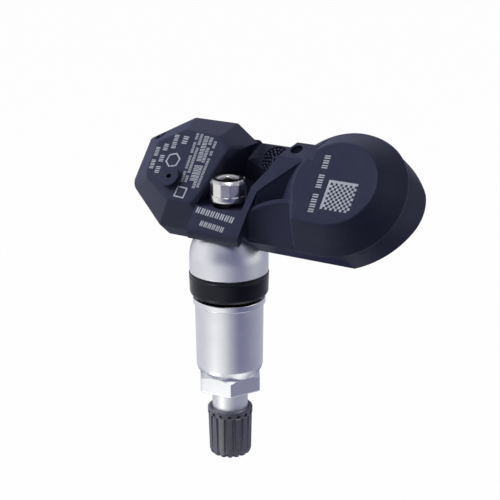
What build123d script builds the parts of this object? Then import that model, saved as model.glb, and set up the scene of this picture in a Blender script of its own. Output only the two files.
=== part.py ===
from build123d import *
import os
from math import cos, radians, sin, sqrt

os.makedirs("parts", exist_ok=True)

# Clamp-in tyre pressure sensor, millimetres.
# Z runs along the valve, the cap points down, z = 0 is the grommet face that meets the rim.

# Fits
RUN_GAP = 0.05  # radial running clearance of threads and of the ball seat
CELL_GAP = 0.15  # radial room around the cell
EDGE = 0.1  # broken edges of turned metal

# Valve stem and ball base
STEM_R = 4.0
BALL_R = 7.9
BAND_H = 3.0  # cylinder under the ball half
TIP_R = 3.65  # plain stem between nut and cap
THREAD_R = 3.75  # thread that carries the cap
THREAD_LEN = 8.6
THREAD_EDGE = 0.5
SHOULDER = 0.4  # cone from the shaft to the plain tip
STEM_END = -33.6
PASSAGE_R = 1.2
CORE_R = 2.45
CHAMBER_H = 2.6  # room above the core

# Grommet
GROMMET_PROUD = 0.13  # stands proud of the ball's band
GROMMET_TAPER = 0.16  # narrower at its foot
GROMMET_H = 4.9
GROMMET_ROUND = 1.8
GROMMET_EDGE = 0.35
NECK_R = 5.6
NECK_LEN = 4.0
NECK_LAND = 0.9  # straight seat under the shoulder, the rest is a lead-in
NECK_TIP_R = 5.3

# Cup washer and union nut
WASHER_R = 7.3
WASHER_IN_R = 5.95
WASHER_TOP = -0.47
WASHER_T = 1.25
WASHER_DISH = 0.45
WASHER_RIM = 0.38
NUT_TOP_R = 6.92
NUT_LOW_R = 6.75
NUT_BODY_H = 13.15
NUT_H = 18.4
NUT_CONE_H = 1.75
HEX_AF = 12.0
HEX_TURN = 3.9
COUNTERBORE_H = 2.7
NUT_FOOT = 0.5
CONE_KNEE = 0.43  # share of the cone where it steepens
HEX_CHAMFER = 0.65

# Hollow screw
SCREW_HEAD_R = 3.65
SCREW_HEAD_H = 4.9
SCREW_R = 2.5
SCREW_BORE_R = 1.1
SCREW_DEPTH = 6.4  # thread length inside the ball
SOCKET_AF = 4.4
SOCKET_H = 3.2
SOCKET_CONE = 0.7
HEAD_CHAMFER = 0.7
HEAD_RIM = 0.5
HEAD_BAND_H = 1.8  # smooth foot under the facets
HEAD_FACETS = 12
HEAD_TURN = 8.0

# Valve core
BARREL_INSET = 1.0  # from the stem end
BARREL_H = 11.0
BARREL_PLUG_H = 4.2  # threaded part
BARREL_END_T = 1.6  # closed end that guides the pin
BARREL_BODY_R = 1.9
BARREL_BORE_R = 1.35
PIN_R = 0.5
PIN_INSET = 0.4  # pin tip, from the stem end
PIN_PLAY = 0.1
COLLAR_INSET = 0.7
COLLAR_T = 0.4
SEAL_T = 0.4
PLUNGER_T = 0.9
GASKET_GAP = 1.2
GASKET_H = 1.6
PLUNGER_R = 1.7
SPRING_R = 0.95
SPRING_WIRE = 0.16
SPRING_TURNS = 7
SPRING_FACES = 6

# Cap
CAP_REACH = 8.87  # from the stem end to the open rim
CAP_LIP_R = 4.62
CAP_TOP_R = 4.5
CAP_LOW_R = 4.3
CAP_END_T = 0.8
CAP_SEAL_T = 0.6
CAP_SEAL_PLAY = 0.15
CAP_ROUND = 0.9
CAP_FLUTES = 16
CAP_TURN = -59.0
FLUTE_R = 0.3
FLUTE_OUT = 0.08  # flute centres lie outside the foot radius
FLUTE_STOP = 0.5  # flutes end this far below the collar
SCALLOP_R = 0.45
SCALLOP_IN = 0.16  # scallop axis inside the foot radius
SCALLOP_REACH = 2.0
NOTCH = 0.7
NOTCH_H = 0.6
NOTCH_LOW = 1.0  # notch floor below the rim
CAP_COLLAR_H = 1.3  # plain rim above the flutes

# Housing, in a frame tilted about X; heights are along its own normal
TILT = 50.0
BOTTOM = 4.0
WALL_TOP = 8.2
TOP = 12.5
PLATE = 12.0
CREST = 11.6
FRONT = 3.8
BACK = 25.2
SADDLE_T = 3.05
PLATE_FRONT = 1.5
PLATE_BACK = 7.9
PLATE_LEFT = -4.95
PLATE_RIGHT = 6.8
PLATE_LIP = 10.3  # underside of the plate in front of the ball
CHANNEL_RIGHT = 5.4
PIT_FLOOR = 4.7
CHANNEL_FLOOR = 7.0
STEP_Y = 20.95
STEP_RUN = 3.0
STEP_SKEW = 0.363
STEP_LEFT = -8.0
STEP_RIGHT = 14.0
BEYOND = 31.0  # past the back of the housing
ABOVE = 16.0  # over the top of the housing
SLOT_GAP = 0.3
CREST_T = 0.9
CREST_FOOT = 0.2
RIB_SINK = 0.5
LAND_X = 8.0  # sloped land behind the rib
LAND_W = 8.6
LAND_FRONT = 20.8
LAND_RUN = 6.0
LAND_H = 9.7
LAND_FALL = 2.8
PLATE_DEEP = 11.4
PLATE_ROUND = 1.6
SLOT_MID = 0.75
SLOT_RUN = 2.6
PICK = 0.05  # half height of the band in which edges are picked

# Round lobe
ROUND_X = 22.6
ROUND_Y = 16.7
DOME_R = 12.9
DISC_R = 8.6
DISC_ROUND = 0.9
WAIST_TURN = 18.0
WAIST_X = 15.5
WAIST_BACK = 26.6
WEDGE_BACK = 22.3
CELL_R = 10.0
CELL_T = 2.5
CELL_EDGE = 0.45
CELL_LID = 1.0  # lid is this much smaller in radius

# Inside
CEILING = 11.2
POTTING_DIP = 0.05
CAVITY_STEP = 0.2
POCKET_R = 8.2  # narrower pocket over the cell
POCKET_H = 10.7
BOARD_PLAY = 0.1
BOARD_H = 4.9
BOARD_T = 0.8
TAB_T = 0.15
PORT_X = -12.5
PORT_Y = 12.4
PORT_R = 0.5
BOSS_R = 2.1
BOSS_H = 1.0
HOLE_LEFT = (-20.9, 22.4)
HOLE_LEFT_FLOOR = 8.7
HOLE_RIGHT = (11.5, 23.2)
HOLE_RIGHT_FLOOR = 9.4
HOLE_R = 1.2
DIAL_X = 5.4
DIAL_Y = 22.0
DIAL_R = 2.9
DIAL_DEPTH = 0.3
LOBE_ROUND = 1.0
LOBE_CORNER = 3.0
LOBE_EDGE = 0.8
SENSOR_W = 6.0
SENSOR_T = 2.2
SENSOR_ROUND = 0.4
SENSOR_PORT_H = 0.8
GASKET_R = 1.7
TAB_L = 12.0
TAB_W = 4.0
STRAP_W = 1.6
STRAP_INSET = 0.5
STRAP_END = 2.6  # upper strap stops this far from the cell's axis
CAN_L = 3.2
CAN_W = 2.5
CAN_H = 0.9
CAN_ROUND = 0.4
CAN_AT = (-18.6, 17.6)
COIL_L = 7.4
COIL_W = 2.8
COIL_H = 2.2
COIL_CHEEK = 1.0
COIL_INSET = 0.3
COIL_AT = (-11.5, 21.0)
INDUCTOR_L = 2.0
INDUCTOR_W = 1.3
INDUCTOR_H = 1.2
INDUCTOR_ROUND = 0.2
INDUCTOR_AT = (-18.6, 14.4)
CHIP_L = 1.6
CHIP_W = 0.8
CHIP_A = (-7.6, 13.6)
CHIP_B = (-7.6, 16.6)
CHIP_C = (-14.6, 17.9)

GROMMET_R = BALL_R + GROMMET_PROUD
GROMMET_LOW_R = GROMMET_R - GROMMET_TAPER
BARREL_LOW = STEM_END + BARREL_INSET
CORE_TOP = BARREL_LOW + BARREL_H
PIN_TIP = STEM_END + PIN_INSET
CAP_TOP = STEM_END + CAP_REACH
ARC_MID = 1 - sqrt(0.5)  # halfway point of a quarter round
SINE = sin(radians(TILT))
COSINE = cos(radians(TILT))
BALL_Z = GROMMET_H + BAND_H
SEAT_R = BALL_R + RUN_GAP + SADDLE_T
SEAT_Z = BALL_Z + SEAT_R
BALL_Y = BAND_H * SINE
BALL_H = BAND_H * COSINE
LID = Plane(origin=(0, 0, GROMMET_H), x_dir=(1, 0, 0), z_dir=(0, -SINE, COSINE))
NORMAL = LID.z_dir
LID_AXIS = Axis(LID.origin, LID.z_dir)
LID_BACK = Axis(LID.origin, LID.y_dir)
ROUND_BASE = LID.from_local_coords((ROUND_X, ROUND_Y, 0))
ROUND_AXIS = Axis(ROUND_BASE, NORMAL)
ROUND_CUT = Plane(origin=ROUND_BASE, x_dir=(1, 0, 0), z_dir=-LID.y_dir)
SIDE = Plane(origin=LID.origin, x_dir=LID.y_dir, z_dir=(1, 0, 0))

# Plan outlines, counter-clockwise
LOBE_LOW = [(2.2, 23.9), (-5.2, 28.3), (-15.4, 28.3), (-24.1, 22.2), (-24.1, 11.4), (-14.0, FRONT),
            (-1.5, FRONT), (-0.6, 9.8)]
LOBE_TOP = [(-2.5, 20.7), (-5.1, 22.9), (-13.5, 23.3), (-18.9, 19.8), (-18.9, 12.1), (-11.4, 7.9),
            (-6.0, 7.9), (-5.1, 10.1)]
NECK = [(-6.0, FRONT), (21.0, FRONT), (21.0, BACK), (-6.0, BACK)]
RIB = [(CHANNEL_RIGHT, PLATE_BACK), (PLATE_RIGHT, PLATE_BACK), (PLATE_RIGHT + 0.3, 12.6), (8.0, 13.7),
       (14.0, 20.2), (16.0, 20.2), (16.0, BACK), (10.4, BACK), (7.6, 17.4), (CHANNEL_RIGHT + 0.2, 13.6)]
WEDGE_LOW = [(ROUND_X, ROUND_Y - DOME_R), (ROUND_X, WEDGE_BACK), (14.6, WEDGE_BACK), (14.9, 10.8),
             (16.7, ROUND_Y - DOME_R)]
WEDGE_TOP = [(ROUND_X, ROUND_Y - DISC_R), (ROUND_X, WEDGE_BACK), (14.6, WEDGE_BACK), (14.9, 10.8),
             (16.3, ROUND_Y - DISC_R)]
SKIRT = [(28.3, FRONT), (33.5, 7.3), (37.2, 12.6), (38.15, 16.7), (37.3, 20.8), (31.4, 26.75),
         (ROUND_X, 29.9)]
CHANNEL = [(PLATE_LEFT, PLATE_BACK), (CHANNEL_RIGHT, PLATE_BACK), (CHANNEL_RIGHT + 0.2, 13.6),
           (7.6, 17.4), (11.4, 27.8), (2.5, 27.8), (-3.3, 15.4), (PLATE_LEFT, 8.3)]
CAVITY_LOW = [(-1.0, 23.2), (-5.7, 26.9), (-15.0, 26.9), (-22.7, 21.5), (-22.7, 12.1), (-13.6, 5.3),
              (-9.3, 5.3), (-6.4, 10.0)]
CAVITY_TOP = [(-3.8, 20.0), (-5.8, 21.9), (-13.0, 22.2), (-17.7, 19.2), (-17.7, 12.8), (-11.1, 9.0),
              (-7.2, 9.0), (-6.3, 10.8)]
BOARD = [(-1.6, 22.9), (-5.8, 26.3), (-14.8, 26.3), (-22.1, 21.2), (-22.1, 12.4), (-13.4, 5.9),
         (-9.6, 5.9), (-7.0, 10.2)]
FLANK_LOW = [(4.1, 10.45), (7.9, 6.95), (17.2, 17.1), (13.4, 20.6)]
FLANK_TOP = [(4.1, 10.45), (4.4, 10.17), (13.7, 20.32), (13.4, 20.6)]
CREST_LEFT = (6.6, 8.1)
CREST_MID = (10.5, 10.7)
CREST_RIGHT = (16.6, 11.5)
BRIDGE_X = (-3.0, 16.0)
BRIDGE_Y = (21.3, 23.8)
STRAP_X = (11.0, 16.0)

strap_mid = ((STRAP_X[0] + STRAP_X[1]) / 2, (BRIDGE_Y[0] + BRIDGE_Y[1]) / 2)
CELL_TOP = BOARD_H + BOARD_T + TAB_T + CELL_T

bridge_mid = ((BRIDGE_X[0] + BRIDGE_X[1]) / 2, (BRIDGE_Y[0] + BRIDGE_Y[1]) / 2)
bridge_size = (BRIDGE_X[1] - BRIDGE_X[0], BRIDGE_Y[1] - BRIDGE_Y[0])

# Clearance for the screw head: an arc about the ball and a floor
arc_front_h = BALL_H + sqrt(SEAT_R**2 - (PLATE_BACK - BALL_Y) ** 2)
arc_back_y = BALL_Y + sqrt(SEAT_R**2 - (PIT_FLOOR - BALL_H) ** 2)
arc_mid = (BALL_Y + SEAT_R * SINE, BALL_H + SEAT_R * COSINE)
with BuildPart() as channel_tool:
    with BuildSketch(SIDE):
        with BuildLine():
            ThreePointArc((PLATE_BACK, arc_front_h), arc_mid, (arc_back_y, PIT_FLOOR))
            Polyline((arc_back_y, PIT_FLOOR), (BEYOND, PIT_FLOOR), (BEYOND, ABOVE), (PLATE_BACK, ABOVE),
                     (PLATE_BACK, arc_front_h))
        make_face()
    extrude(amount=BEYOND, both=True)
    with BuildSketch(LID):
        with BuildLine():
            Polyline(*CHANNEL, close=True)
        make_face()
    extrude(amount=BEYOND, mode=Mode.INTERSECT)
    # the raised floor starts at a step that runs askew
    with BuildSketch(LID.offset(PIT_FLOOR)):
        with BuildLine():
            Polyline((STEP_LEFT, STEP_Y - STEP_RUN - STEP_LEFT * STEP_SKEW),
                     (STEP_RIGHT, STEP_Y - STEP_RUN - STEP_RIGHT * STEP_SKEW),
                     (STEP_RIGHT, BEYOND), (STEP_LEFT, BEYOND), close=True)
        make_face()
    with BuildSketch(LID.offset(CHANNEL_FLOOR)):
        with BuildLine():
            Polyline((STEP_LEFT, STEP_Y - STEP_LEFT * STEP_SKEW),
                     (STEP_RIGHT, STEP_Y - STEP_RIGHT * STEP_SKEW),
                     (STEP_RIGHT, BEYOND), (STEP_LEFT, BEYOND), close=True)
        make_face()
    loft(ruled=True, mode=Mode.SUBTRACT)

# Hipped lobe: drafted eight-sided block with softened edges
with BuildPart() as hip_lobe:
    with BuildSketch(LID.offset(BOTTOM)):
        with BuildLine():
            Polyline(*LOBE_LOW, close=True)
        make_face()
        fillet(vertices().sort_by_distance(LOBE_LOW[4])[0], LOBE_CORNER)
        fillet([vertices().sort_by_distance(spot)[0] for spot in LOBE_LOW[:4] + LOBE_LOW[5:]], LOBE_ROUND)
    extrude(amount=WALL_TOP - BOTTOM)
    with BuildSketch(LID.offset(WALL_TOP)):
        with BuildLine():
            Polyline(*LOBE_LOW, close=True)
        make_face()
        fillet(vertices().sort_by_distance(LOBE_LOW[4])[0], LOBE_CORNER)
        fillet([vertices().sort_by_distance(spot)[0] for spot in LOBE_LOW[:4] + LOBE_LOW[5:]], LOBE_ROUND)
    with BuildSketch(LID.offset(TOP)):
        with BuildLine():
            Polyline(*LOBE_TOP, close=True)
        make_face()
        fillet(vertices().sort_by_distance(LOBE_TOP[4])[0], LOBE_CORNER)
        fillet([vertices().sort_by_distance(spot)[0] for spot in LOBE_TOP[:4] + LOBE_TOP[5:]], LOBE_ROUND)
    loft(ruled=True)
    fillet(edges().filter_by_position(LID_AXIS, TOP - PICK, TOP + PICK), LOBE_EDGE)
    fillet(edges().filter_by_position(LID_AXIS, WALL_TOP - PICK, WALL_TOP + PICK), LOBE_EDGE)

# Round lobe: skirt, cone and disc with a rounded rim
with BuildPart() as round_lobe:
    with BuildSketch(LID.offset(BOTTOM)):
        with BuildLine():
            ThreePointArc(SKIRT[0], SKIRT[1], SKIRT[2])
            ThreePointArc(SKIRT[2], SKIRT[3], SKIRT[4])
            ThreePointArc(SKIRT[4], SKIRT[5], SKIRT[6])
            Polyline(SKIRT[6], (WAIST_X, WAIST_BACK), (WAIST_X, FRONT), SKIRT[0])
        make_face()
    with BuildSketch(LID.offset(WALL_TOP)):
        with BuildLine():
            CenterArc((ROUND_X, ROUND_Y), DOME_R, -90, 90 - WAIST_TURN)
            CenterArc((ROUND_X, ROUND_Y), DOME_R, -WAIST_TURN, 2 * WAIST_TURN)
            CenterArc((ROUND_X, ROUND_Y), DOME_R, WAIST_TURN, 90 - WAIST_TURN)
            Polyline((ROUND_X, ROUND_Y + DOME_R), (WAIST_X, WAIST_BACK), (WAIST_X, FRONT),
                     (ROUND_X, ROUND_Y - DOME_R))
        make_face()
    loft(ruled=True)
    with BuildSketch(ROUND_CUT):
        with BuildLine():
            Polyline((0, WALL_TOP - 1), (DISC_R, WALL_TOP - 1), (DOME_R, WALL_TOP), (DISC_R, TOP), (0, TOP),
                     close=True)
        make_face()
        fillet(vertices().sort_by_distance((DISC_R, TOP))[0], DISC_ROUND)
    revolve(axis=ROUND_AXIS)

# Wedge: straight left side and front corner of the round lobe
with BuildPart() as wedge:
    with BuildSketch(LID.offset(WALL_TOP)):
        with BuildLine():
            Polyline(*WEDGE_LOW, close=True)
        make_face()
        fillet([vertices().sort_by_distance(spot)[0] for spot in WEDGE_LOW[3:]], LOBE_ROUND)
    with BuildSketch(LID.offset(TOP)):
        with BuildLine():
            Polyline(*WEDGE_TOP, close=True)
        make_face()
        fillet([vertices().sort_by_distance(spot)[0] for spot in WEDGE_TOP[3:]], LOBE_ROUND)
    loft(ruled=True)
    rim = edges().filter_by_position(LID_AXIS, TOP - PICK, TOP + PICK)
    rim = rim.filter_by_position(Axis.X, 0, ROUND_X - 2 * PICK)
    rim = rim.filter_by_position(LID_BACK, 0, WEDGE_BACK - 2 * PICK)
    fillet(rim, DISC_ROUND)

# Housing: moulded shell with hipped lobe, round lobe, channel and ball saddle
crest_back_mid = (CREST_MID[0], CREST_MID[1] + CREST_T)
with BuildPart() as housing:
    with BuildSketch(LID.offset(BOTTOM)):
        with BuildLine():
            Polyline(*NECK, close=True)
        make_face()
    extrude(amount=WALL_TOP - BOTTOM)
    add(round_lobe.part)
    # front of the valley is cleared, then closed again by the sloped face below the crest
    with BuildSketch(LID.offset(WALL_TOP)):
        with BuildLine():
            ThreePointArc(CREST_LEFT, CREST_MID, CREST_RIGHT)
            Polyline(CREST_RIGHT, (CREST_RIGHT[0], 0), (CREST_LEFT[0], 0), CREST_LEFT)
        make_face()
    extrude(amount=TOP - WALL_TOP + 1, mode=Mode.SUBTRACT)
    with BuildSketch(LID.offset(WALL_TOP)):
        with BuildLine():
            Polyline((CREST_LEFT[0], CREST_LEFT[1] + CREST_T), (CREST_LEFT[0], FRONT + CREST_FOOT),
                     (CREST_RIGHT[0], FRONT + CREST_FOOT), (CREST_RIGHT[0], CREST_RIGHT[1] + CREST_T))
            ThreePointArc((CREST_RIGHT[0], CREST_RIGHT[1] + CREST_T), crest_back_mid,
                          (CREST_LEFT[0], CREST_LEFT[1] + CREST_T))
        make_face()
    with BuildSketch(LID.offset(CREST)):
        with BuildLine():
            Line((CREST_LEFT[0], CREST_LEFT[1] + CREST_T), CREST_LEFT)
            ThreePointArc(CREST_LEFT, CREST_MID, CREST_RIGHT)
            Line(CREST_RIGHT, (CREST_RIGHT[0], CREST_RIGHT[1] + CREST_T))
            ThreePointArc((CREST_RIGHT[0], CREST_RIGHT[1] + CREST_T), crest_back_mid,
                          (CREST_LEFT[0], CREST_LEFT[1] + CREST_T))
        make_face()
    loft(ruled=True)
    # flank that falls from the rib to the round lobe
    with BuildSketch(LID.offset(WALL_TOP)):
        with BuildLine():
            Polyline(*FLANK_LOW, close=True)
        make_face()
    with BuildSketch(LID.offset(PLATE)):
        with BuildLine():
            Polyline(*FLANK_TOP, close=True)
        make_face()
    loft(ruled=True)
    add(wedge.part)
    with BuildSketch(LID.offset(BOTTOM)):
        with Locations((ROUND_X, FRONT - 10)):
            Rectangle(60, 20)
    extrude(amount=TOP - BOTTOM + 2, mode=Mode.SUBTRACT)
    # rib beside the channel and the sloped land behind it
    with BuildSketch(LID.offset(WALL_TOP - RIB_SINK)):
        with BuildLine():
            Polyline(*RIB, close=True)
        make_face()
    extrude(amount=PLATE - WALL_TOP + RIB_SINK)
    with BuildSketch(SIDE.offset(LAND_X)):
        with BuildLine():
            Polyline((LAND_FRONT, PLATE), (LAND_FRONT, PLATE + 2), (BACK + LAND_RUN, PLATE + 2),
                     (BACK + LAND_RUN, LAND_H - LAND_FALL), (BACK, LAND_H),
                     close=True)
        make_face()
    extrude(amount=LAND_W, mode=Mode.SUBTRACT)
    # plate over the ball
    with BuildSketch(SIDE.offset(PLATE_LEFT)):
        with BuildLine():
            Polyline((PLATE_FRONT, PLATE_LIP), (FRONT, PLATE_LIP), (FRONT, BOTTOM), (PLATE_DEEP, BOTTOM),
                     (PLATE_DEEP, PLATE), (PLATE_FRONT + PLATE_ROUND, PLATE))
            ThreePointArc((PLATE_FRONT + PLATE_ROUND, PLATE),
                          (PLATE_FRONT + PLATE_ROUND * ARC_MID, PLATE - (PLATE - PLATE_LIP) * ARC_MID),
                          (PLATE_FRONT, PLATE_LIP))
        make_face()
    extrude(amount=PLATE_RIGHT - PLATE_LEFT)
    add(hip_lobe.part)
    add(channel_tool.part, mode=Mode.SUBTRACT)
    with BuildSketch(LID.offset(TOP)):
        with Locations((PORT_X, PORT_Y)):
            Circle(BOSS_R)
    extrude(amount=BOSS_H)
    # moulding marks: two blind holes and the shallow round recess on the channel floor
    with BuildSketch(LID.offset(HOLE_LEFT_FLOOR)):
        with Locations(HOLE_LEFT):
            Circle(HOLE_R)
    extrude(amount=4, mode=Mode.SUBTRACT)
    with BuildSketch(LID.offset(HOLE_RIGHT_FLOOR)):
        with Locations(HOLE_RIGHT):
            Circle(HOLE_R)
    extrude(amount=4, mode=Mode.SUBTRACT)
    with BuildSketch(LID.offset(CHANNEL_FLOOR - DIAL_DEPTH)):
        with Locations((DIAL_X, DIAL_Y)):
            Circle(DIAL_R)
    extrude(amount=DIAL_DEPTH + 1, mode=Mode.SUBTRACT)
    # ball seat and screw slot
    with Locations((0, 0, BALL_Z)):
        Sphere(BALL_R + RUN_GAP, mode=Mode.SUBTRACT)
    with BuildSketch(Plane.XY.offset(BALL_Z)):
        with Locations((0, SLOT_MID)):
            SlotCenterToCenter(SLOT_RUN, 2 * (SCREW_R + SLOT_GAP), rotation=90)
    extrude(amount=SEAT_R + 3, mode=Mode.SUBTRACT)
    # inside
    with BuildSketch(LID.offset(BOTTOM)):
        with BuildLine():
            Polyline(*CAVITY_LOW, close=True)
        make_face()
    extrude(amount=WALL_TOP - CAVITY_STEP - BOTTOM, mode=Mode.SUBTRACT)
    with BuildSketch(LID.offset(BOTTOM)):
        with BuildLine():
            Polyline(*CAVITY_TOP, close=True)
        make_face()
    extrude(amount=CEILING - BOTTOM, mode=Mode.SUBTRACT)
    with BuildSketch(LID.offset(BOTTOM)):
        with Locations(bridge_mid):
            Rectangle(*bridge_size)
    extrude(amount=BOARD_H + BOARD_T + BOARD_PLAY - BOTTOM, mode=Mode.SUBTRACT)
    with BuildSketch(LID.offset(BOTTOM)):
        with Locations(strap_mid):
            Rectangle(STRAP_X[1] - STRAP_X[0], bridge_size[1])
    extrude(amount=CELL_TOP + 2 * TAB_T - BOTTOM, mode=Mode.SUBTRACT)
    with BuildSketch(ROUND_CUT):
        with BuildLine():
            Polyline((0, BOTTOM), (CELL_R + CELL_GAP, BOTTOM), (CELL_R + CELL_GAP, CELL_TOP + 2 * TAB_T),
                     (POCKET_R, POCKET_H), (POCKET_R, CEILING), (0, CEILING), close=True)
        make_face()
    revolve(axis=ROUND_AXIS, mode=Mode.SUBTRACT)
    with BuildSketch(LID.offset(CEILING - 1)):
        with Locations((PORT_X, PORT_Y)):
            Circle(PORT_R)
    extrude(amount=TOP + BOSS_H + 2 - CEILING, mode=Mode.SUBTRACT)
housing.part.label = "housing"
export_step(housing.part, "parts/housing.step")

# Potting resin: closes the open underside up to the board
with BuildPart() as potting_fill:
    with BuildSketch(LID.offset(BOTTOM + POTTING_DIP)):
        with BuildLine():
            Polyline(*CAVITY_LOW, close=True)
        make_face()
        with Locations(bridge_mid):
            Rectangle(*bridge_size)
        with Locations((ROUND_X, ROUND_Y)):
            Circle(CELL_R + CELL_GAP)
    extrude(amount=BOARD_H - BOTTOM - POTTING_DIP)
potting_fill.part.label = "potting_fill"
export_step(potting_fill.part, "parts/potting_fill.step")

# Circuit board through both lobes and the neck
with BuildPart() as circuit_board:
    with BuildSketch(LID.offset(BOARD_H)):
        with BuildLine():
            Polyline(*BOARD, close=True)
        make_face()
        with Locations(bridge_mid):
            Rectangle(bridge_size[0], bridge_size[1] - 4 * BOARD_PLAY)
        with Locations((ROUND_X, ROUND_Y)):
            Circle(CELL_R - BOARD_PLAY)
    extrude(amount=BOARD_T)
circuit_board.part.label = "circuit_board"
export_step(circuit_board.part, "parts/circuit_board.step")

board_top = BOARD_H + BOARD_T
# Lower cell strap, welded under the cell
with BuildPart() as cell_tab_bottom:
    with BuildSketch(LID.offset(board_top)):
        with Locations((ROUND_X, ROUND_Y)):
            Rectangle(TAB_L, TAB_W)
    extrude(amount=TAB_T)
cell_tab_bottom.part.label = "cell_tab_bottom"
export_step(cell_tab_bottom.part, "parts/cell_tab_bottom.step")

# Coin cell: can with the smaller insulated lid on top
cell_low = board_top + TAB_T
with BuildPart() as coin_cell:
    with BuildSketch(ROUND_CUT):
        with BuildLine():
            Polyline((0, cell_low), (CELL_R - CELL_EDGE, cell_low), (CELL_R, cell_low + CELL_EDGE),
                     (CELL_R, CELL_TOP - CELL_EDGE), (CELL_R - CELL_LID, CELL_TOP - CELL_EDGE),
                     (CELL_R - CELL_LID, CELL_TOP), (0, CELL_TOP), close=True)
        make_face()
    revolve(axis=ROUND_AXIS)
coin_cell.part.label = "coin_cell"
export_step(coin_cell.part, "parts/coin_cell.step")

# Upper cell strap, bent down to the board beside the cell
strap_left = STRAP_X[0] + STRAP_INSET
strap_right = ROUND_X - STRAP_END
with BuildPart() as cell_tab_top:
    with BuildSketch(LID.offset(CELL_TOP)):
        with Locations(((strap_left + strap_right) / 2, bridge_mid[1])):
            Rectangle(strap_right - strap_left, STRAP_W)
    extrude(amount=TAB_T)
    with BuildSketch(LID.offset(board_top)):
        with Locations((strap_left + TAB_T / 2, bridge_mid[1])):
            Rectangle(TAB_T, STRAP_W)
    extrude(amount=CELL_TOP - board_top)
cell_tab_top.part.label = "cell_tab_top"
export_step(cell_tab_top.part, "parts/cell_tab_top.step")

# Sensor package under the pressure port
with BuildPart() as sensor_package:
    with BuildSketch(LID.offset(board_top)):
        with Locations((PORT_X, PORT_Y)):
            RectangleRounded(SENSOR_W, SENSOR_W, SENSOR_ROUND)
    extrude(amount=SENSOR_T)
    with BuildSketch(LID.offset(board_top + SENSOR_T - SENSOR_PORT_H)):
        with Locations((PORT_X, PORT_Y)):
            Circle(PORT_R)
    extrude(amount=SENSOR_PORT_H, mode=Mode.SUBTRACT)
sensor_package.part.label = "sensor_package"
export_step(sensor_package.part, "parts/sensor_package.step")

# Soft tube from the package to the port
with BuildPart() as port_gasket:
    with BuildSketch(LID.offset(board_top + SENSOR_T)):
        with Locations((PORT_X, PORT_Y)):
            Circle(GASKET_R)
            Circle(PORT_R, mode=Mode.SUBTRACT)
    extrude(amount=CEILING - board_top - SENSOR_T)
port_gasket.part.label = "port_gasket"
export_step(port_gasket.part, "parts/port_gasket.step")

# Quartz can
with BuildPart() as crystal:
    with BuildSketch(LID.offset(board_top)):
        with Locations(CAN_AT):
            RectangleRounded(CAN_L, CAN_W, CAN_ROUND)
    extrude(amount=CAN_H)
crystal.part.label = "crystal"
export_step(crystal.part, "parts/crystal.step")

# Wake-up coil: winding between two end cheeks
winding_l = COIL_L - 2 * COIL_CHEEK
coil_front = (COIL_AT[0], COIL_AT[1] - COIL_W / 2)
coil_back = (COIL_AT[0], COIL_AT[1] + COIL_W / 2)
with BuildPart() as lf_coil:
    with BuildSketch(LID.offset(board_top)):
        with Locations(COIL_AT):
            Rectangle(COIL_L, COIL_W)
    extrude(amount=COIL_H)
    with BuildSketch(LID.offset(board_top)):
        with Locations(coil_front, coil_back):
            Rectangle(winding_l, 2 * COIL_INSET)
    extrude(amount=COIL_H, mode=Mode.SUBTRACT)
    with BuildSketch(LID.offset(board_top + COIL_H - COIL_INSET)):
        with Locations(COIL_AT):
            Rectangle(winding_l, COIL_W)
    extrude(amount=COIL_INSET, mode=Mode.SUBTRACT)
lf_coil.part.label = "lf_coil"
export_step(lf_coil.part, "parts/lf_coil.step")

# Matching coil
with BuildPart() as rf_inductor:
    with BuildSketch(LID.offset(board_top)):
        with Locations(INDUCTOR_AT):
            RectangleRounded(INDUCTOR_L, INDUCTOR_W, INDUCTOR_ROUND)
    extrude(amount=INDUCTOR_H)
rf_inductor.part.label = "rf_inductor"
export_step(rf_inductor.part, "parts/rf_inductor.step")

# Chip capacitors
with BuildPart() as capacitor_a:
    with BuildSketch(LID.offset(board_top)):
        with Locations(CHIP_A):
            Rectangle(CHIP_W, CHIP_L)
    extrude(amount=CHIP_W)
capacitor_a.part.label = "capacitor_a"
export_step(capacitor_a.part, "parts/capacitor_a.step")

with BuildPart() as capacitor_b:
    with BuildSketch(LID.offset(board_top)):
        with Locations(CHIP_B):
            Rectangle(CHIP_W, CHIP_L)
    extrude(amount=CHIP_W)
capacitor_b.part.label = "capacitor_b"
export_step(capacitor_b.part, "parts/capacitor_b.step")

with BuildPart() as capacitor_c:
    with BuildSketch(LID.offset(board_top)):
        with Locations(CHIP_C):
            Rectangle(CHIP_L, CHIP_W)
    extrude(amount=CHIP_W)
capacitor_c.part.label = "capacitor_c"
export_step(capacitor_c.part, "parts/capacitor_c.step")

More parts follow.
